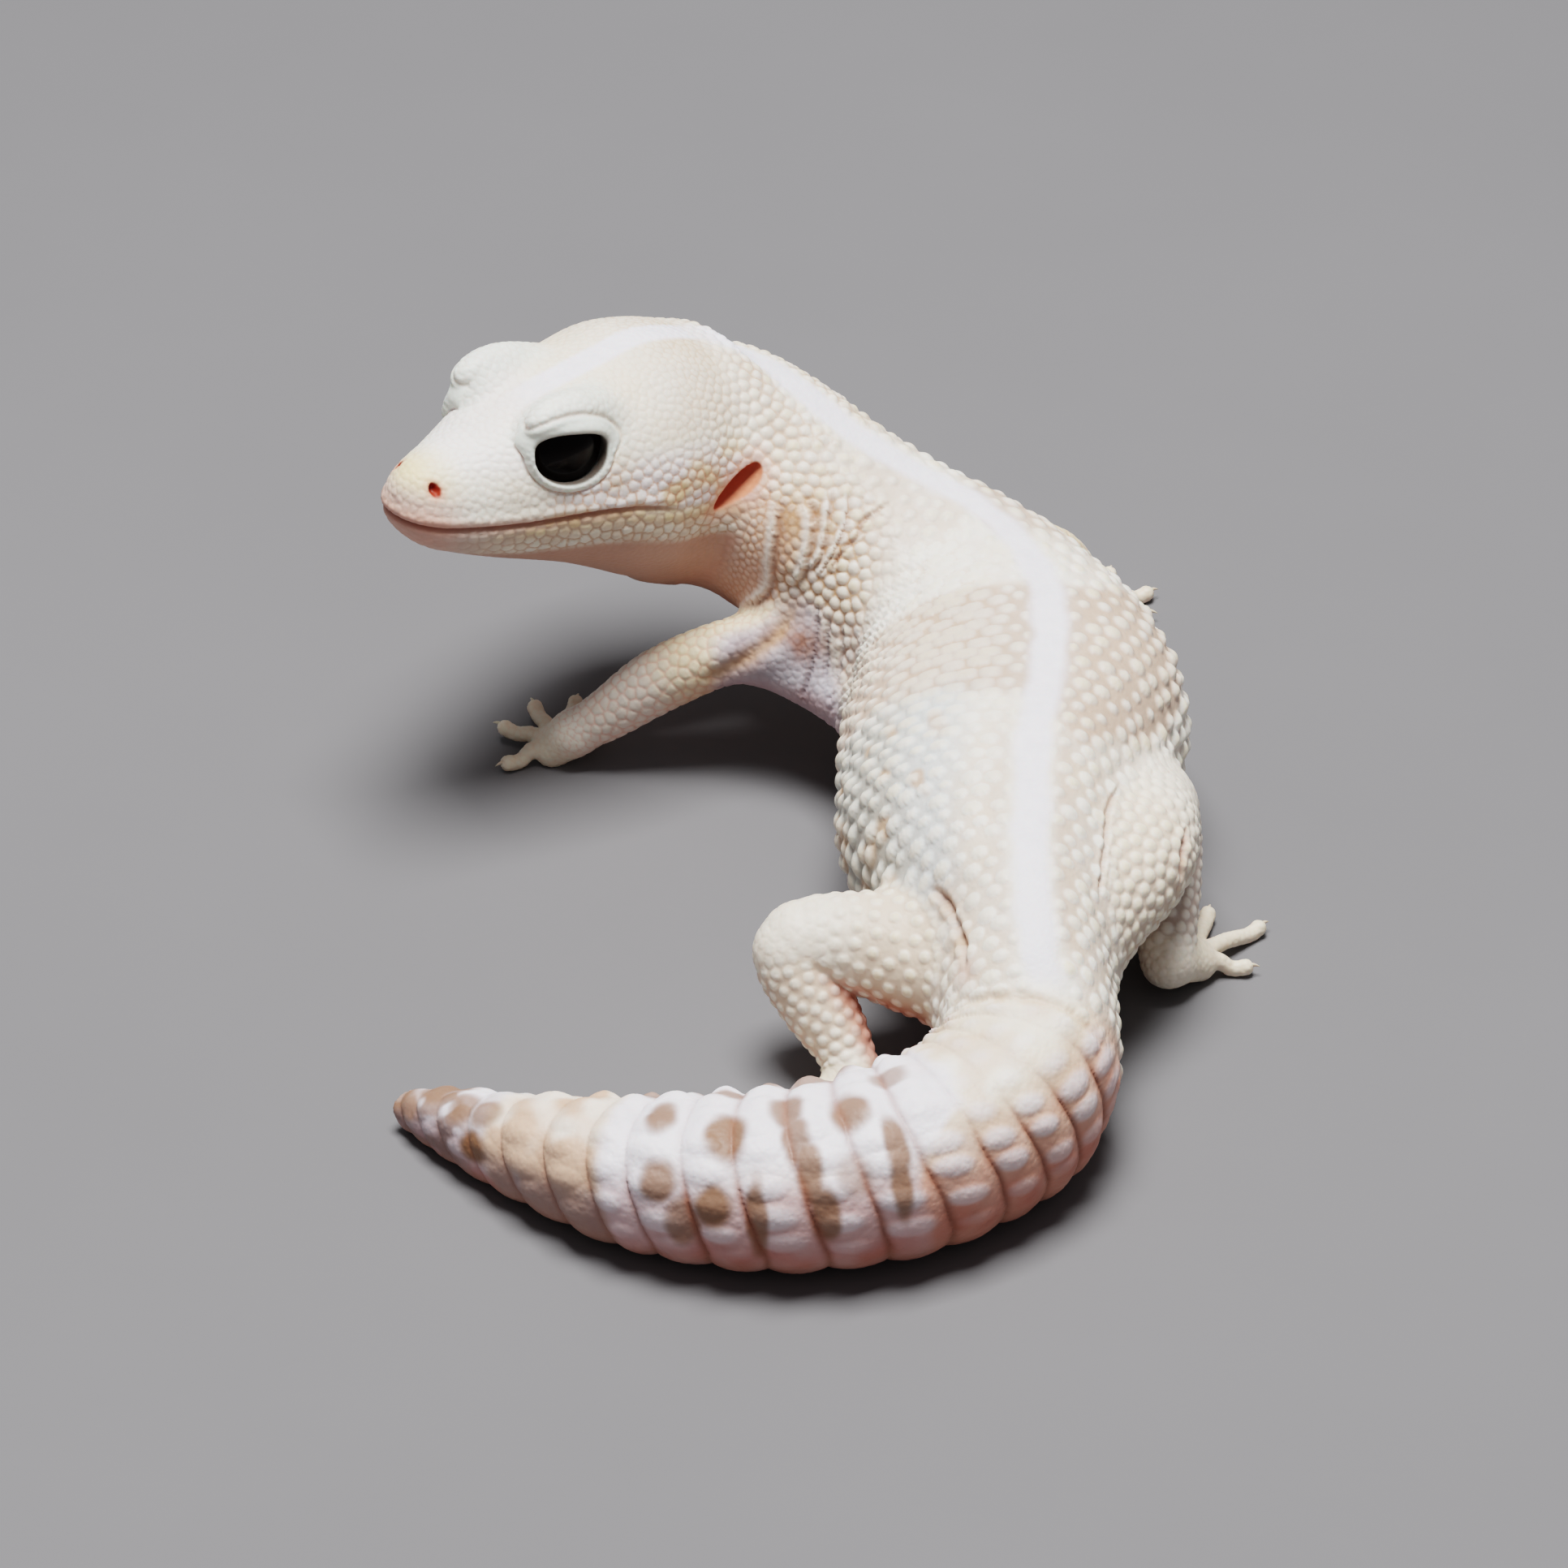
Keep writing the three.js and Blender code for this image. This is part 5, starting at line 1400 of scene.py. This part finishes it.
# ------------------------------------------------------------------ the pieces
def make_skin(material):
    """The whole skin: its scales, folds and rings raised on it, and its markings."""
    total, parts = joined()
    points, faces = surface(total)
    at = survey(points, parts)
    at.normal = normals_of(points, faces)
    bead, bead_luck = back_beads(at)
    raised, groove, top, luck = cobbles(at)
    ring, ring_groove, knob = tail_rings(at)
    dent, crease_paint = crease_field(at)
    lips, slit = head_relief(at)
    lid_share, teeth = lids(at)
    on_lid = smooth(1.5, 1.1, lid_share)
    flaps, edge, hollow = neck_flaps(at)

    tint = np.tile(PAINT["warm white"], (at.count, 1))
    paint_trunk(at, tint, bead, bead_luck)
    paint_neck(at, tint, groove, top, luck)
    paint_tail(at, tint, ring_groove, knob)
    paint_head(at, tint, groove, slit, luck)
    paint_limbs(at, tint, groove, top, luck)
    paint_armpit(at, tint)
    paint_folds(at, tint, top, edge, hollow)
    for some, strength, name in crease_paint:
        part = tint[some]
        mix(part, name, strength)
        tint[some] = part
    paint_openings(at, tint, lid_share)
    tint *= (1 + 0.03 * noise(at.p, 3.0, 71))[:, None]

    ear = np.minimum(ear_distance(at.own, 1), ear_distance(at.own, -1))
    raised = raised * smooth(0.1, 0.6, ear) * (1 - on_lid) * (1 - slit)
    raised = raised * (1 - 0.8 * np.maximum(hollow, edge))
    lift = bead_height(at) * bead + raised + ring + dent + lips
    lift = lift + flaps * (1 - at.on_head) + lid_relief(lid_share) + TEETH_HEIGHT * teeth
    points = points + at.normal * lift[:, None]
    points[:, 2] = np.maximum(points[:, 2], 0)
    nodes = [name for name in frame["nodes"] if not name.startswith("eye")]
    return mesh_object("skin", points, faces, np.clip(tint, 0, 1), material, "skin_body", *nodes)


def make_eye(side, name, node, material):
    """A ball with a wide dark pupil and a brown edge to its iris."""
    rings, sides = 63, 96
    lean = np.linspace(0, math.pi, rings + 2)[1:-1, None]
    turned = np.linspace(0, 2 * math.pi, sides, endpoint=False)[None]
    across, up = np.sin(lean) * np.cos(turned), np.sin(lean) * np.sin(turned)
    ball = np.stack([np.cos(lean) + 0 * turned, across, up], -1)
    ball = np.concatenate([ball.reshape(-1, 3), [[1, 0, 0], [-1, 0, 0]]])
    centre, basis = eye_frame(side)
    own = (ball * (EYE_OUT, EYE_ACROSS, EYE_ACROSS)) @ basis + centre
    quads, fans = ring_faces(rings, sides)
    faces = quads.tolist() + fans.tolist()
    if side > 0:
        faces = [face[::-1] for face in faces]
    tint = np.tile(PAINT["eye"], (len(ball), 1))
    mix(tint, "iris", smooth(0.74, 0.5, ball[:, 0]) * 0.8)
    return mesh_object(name, own @ HEAD_TURN.T + HEAD_AT, faces, tint, material, "eye", node)


def make_claws(material):
    """Small curved claws at the tips of all toes."""
    steps, sides = 6, 10
    t = np.linspace(0, 1, steps)[:, None, None]
    angle = 2 * math.pi * np.arange(sides)[None, :, None] / sides
    radius = 0.17 * (1 - t) ** 0.8 + 0.02
    wide, high = 0.75 * radius * np.cos(angle), radius * np.sin(angle)
    reach, bend = 0.62 * t, 0.16 * t - 0.34 * t * t
    caps = [list(range(sides))[::-1], list(range((steps - 1) * sides, steps * sides))]
    claw = ring_faces(steps, sides)[0].tolist() + caps
    points, faces = [], []
    for limb in LIMBS.values():
        for tip in limb["toes"]:
            path = toe_path(limb["palm"], tip)
            way = unit(path[3] - path[2])
            side = unit(np.cross(UP, way))
            lift = np.cross(way, side)
            base = path[3] + way * 0.36 + lift * 0.12
            first = len(points) * steps * sides
            faces += [[first + corner for corner in face] for face in claw]
            points.append(base + way * reach + side * wide + lift * (bend + high))
    points = np.concatenate(points).reshape(-1, 3)
    points[:, 2] = np.maximum(points[:, 2], 0.02)
    tint = np.tile(PAINT["claw"], (len(points), 1))
    return mesh_object("claws", points, faces, tint, material, "skin_body")


# ------------------------------------------------------------------ the studio
CAMERA_AT = np.array([0.0, -485.4, 352.7])
CAMERA_ELEVATION = 36
LENS, SENSOR = 201.24, 36
FLOOR_REACH, FLOOR_DROP = 0.9, 0.00002  # metres; the floor lies a hair under the soles
SKY_TONE, SKY_STRENGTH = (0.95, 0.97, 1.0, 1), 0.17


def add_object(name, data):
    """A new object in the scene."""
    obj = bpy.data.objects.new(name, data)
    bpy.context.collection.objects.link(obj)
    return obj


def add_camera():
    data = bpy.data.cameras.new("camera")
    data.lens, data.sensor_width, data.clip_start = LENS, SENSOR, 0.01
    camera = add_object("camera", data)
    camera.location = ((CAMERA_AT + OFFSET) * MM).tolist()
    camera.rotation_euler = (math.radians(90 - CAMERA_ELEVATION), 0, 0)
    bpy.context.scene.camera = camera


def add_light(name, place, size, power, tone):
    """A square soft light that faces the middle of the animal."""
    data = bpy.data.lights.new(name, "AREA")
    data.size, data.energy, data.color = size, power, tone
    lamp = add_object(name, data)
    lamp.location = place
    lamp.rotation_euler = lamp.location.to_track_quat("Z", "Y").to_euler()


def add_studio():
    """A grey floor, one soft light nearly straight above, and a dim sky."""
    mesh = bpy.data.meshes.new("floor")
    corners = [(x * FLOOR_REACH, y * FLOOR_REACH, 0) for x, y in ((-1, -1), (1, -1), (1, 1), (-1, 1))]
    mesh.from_pydata(corners, [], [(0, 1, 2, 3)])
    mesh.materials.append(floor_material())
    floor = add_object("floor", mesh)
    floor.location.z = -FLOOR_DROP
    add_light("softbox", place=(-0.01, 0.02, 0.58), size=0.26, power=6.3, tone=(1.0, 0.99, 0.975))
    world = bpy.data.worlds.new("studio")
    world.use_nodes = True
    background = world.node_tree.nodes["Background"]
    background.inputs["Color"].default_value = SKY_TONE
    background.inputs["Strength"].default_value = SKY_STRENGTH
    bpy.context.scene.world = world
    view = bpy.context.scene.view_settings
    view.view_transform, view.look = "Filmic", "Medium High Contrast"


add_camera()
add_studio()
make_skin(skin_material())
eye_look = eye_material()
make_eye(1, "eyeball_left", "eye_left", eye_look)
make_eye(-1, "eyeball_right", "eye_right", eye_look)
make_claws(claw_material())
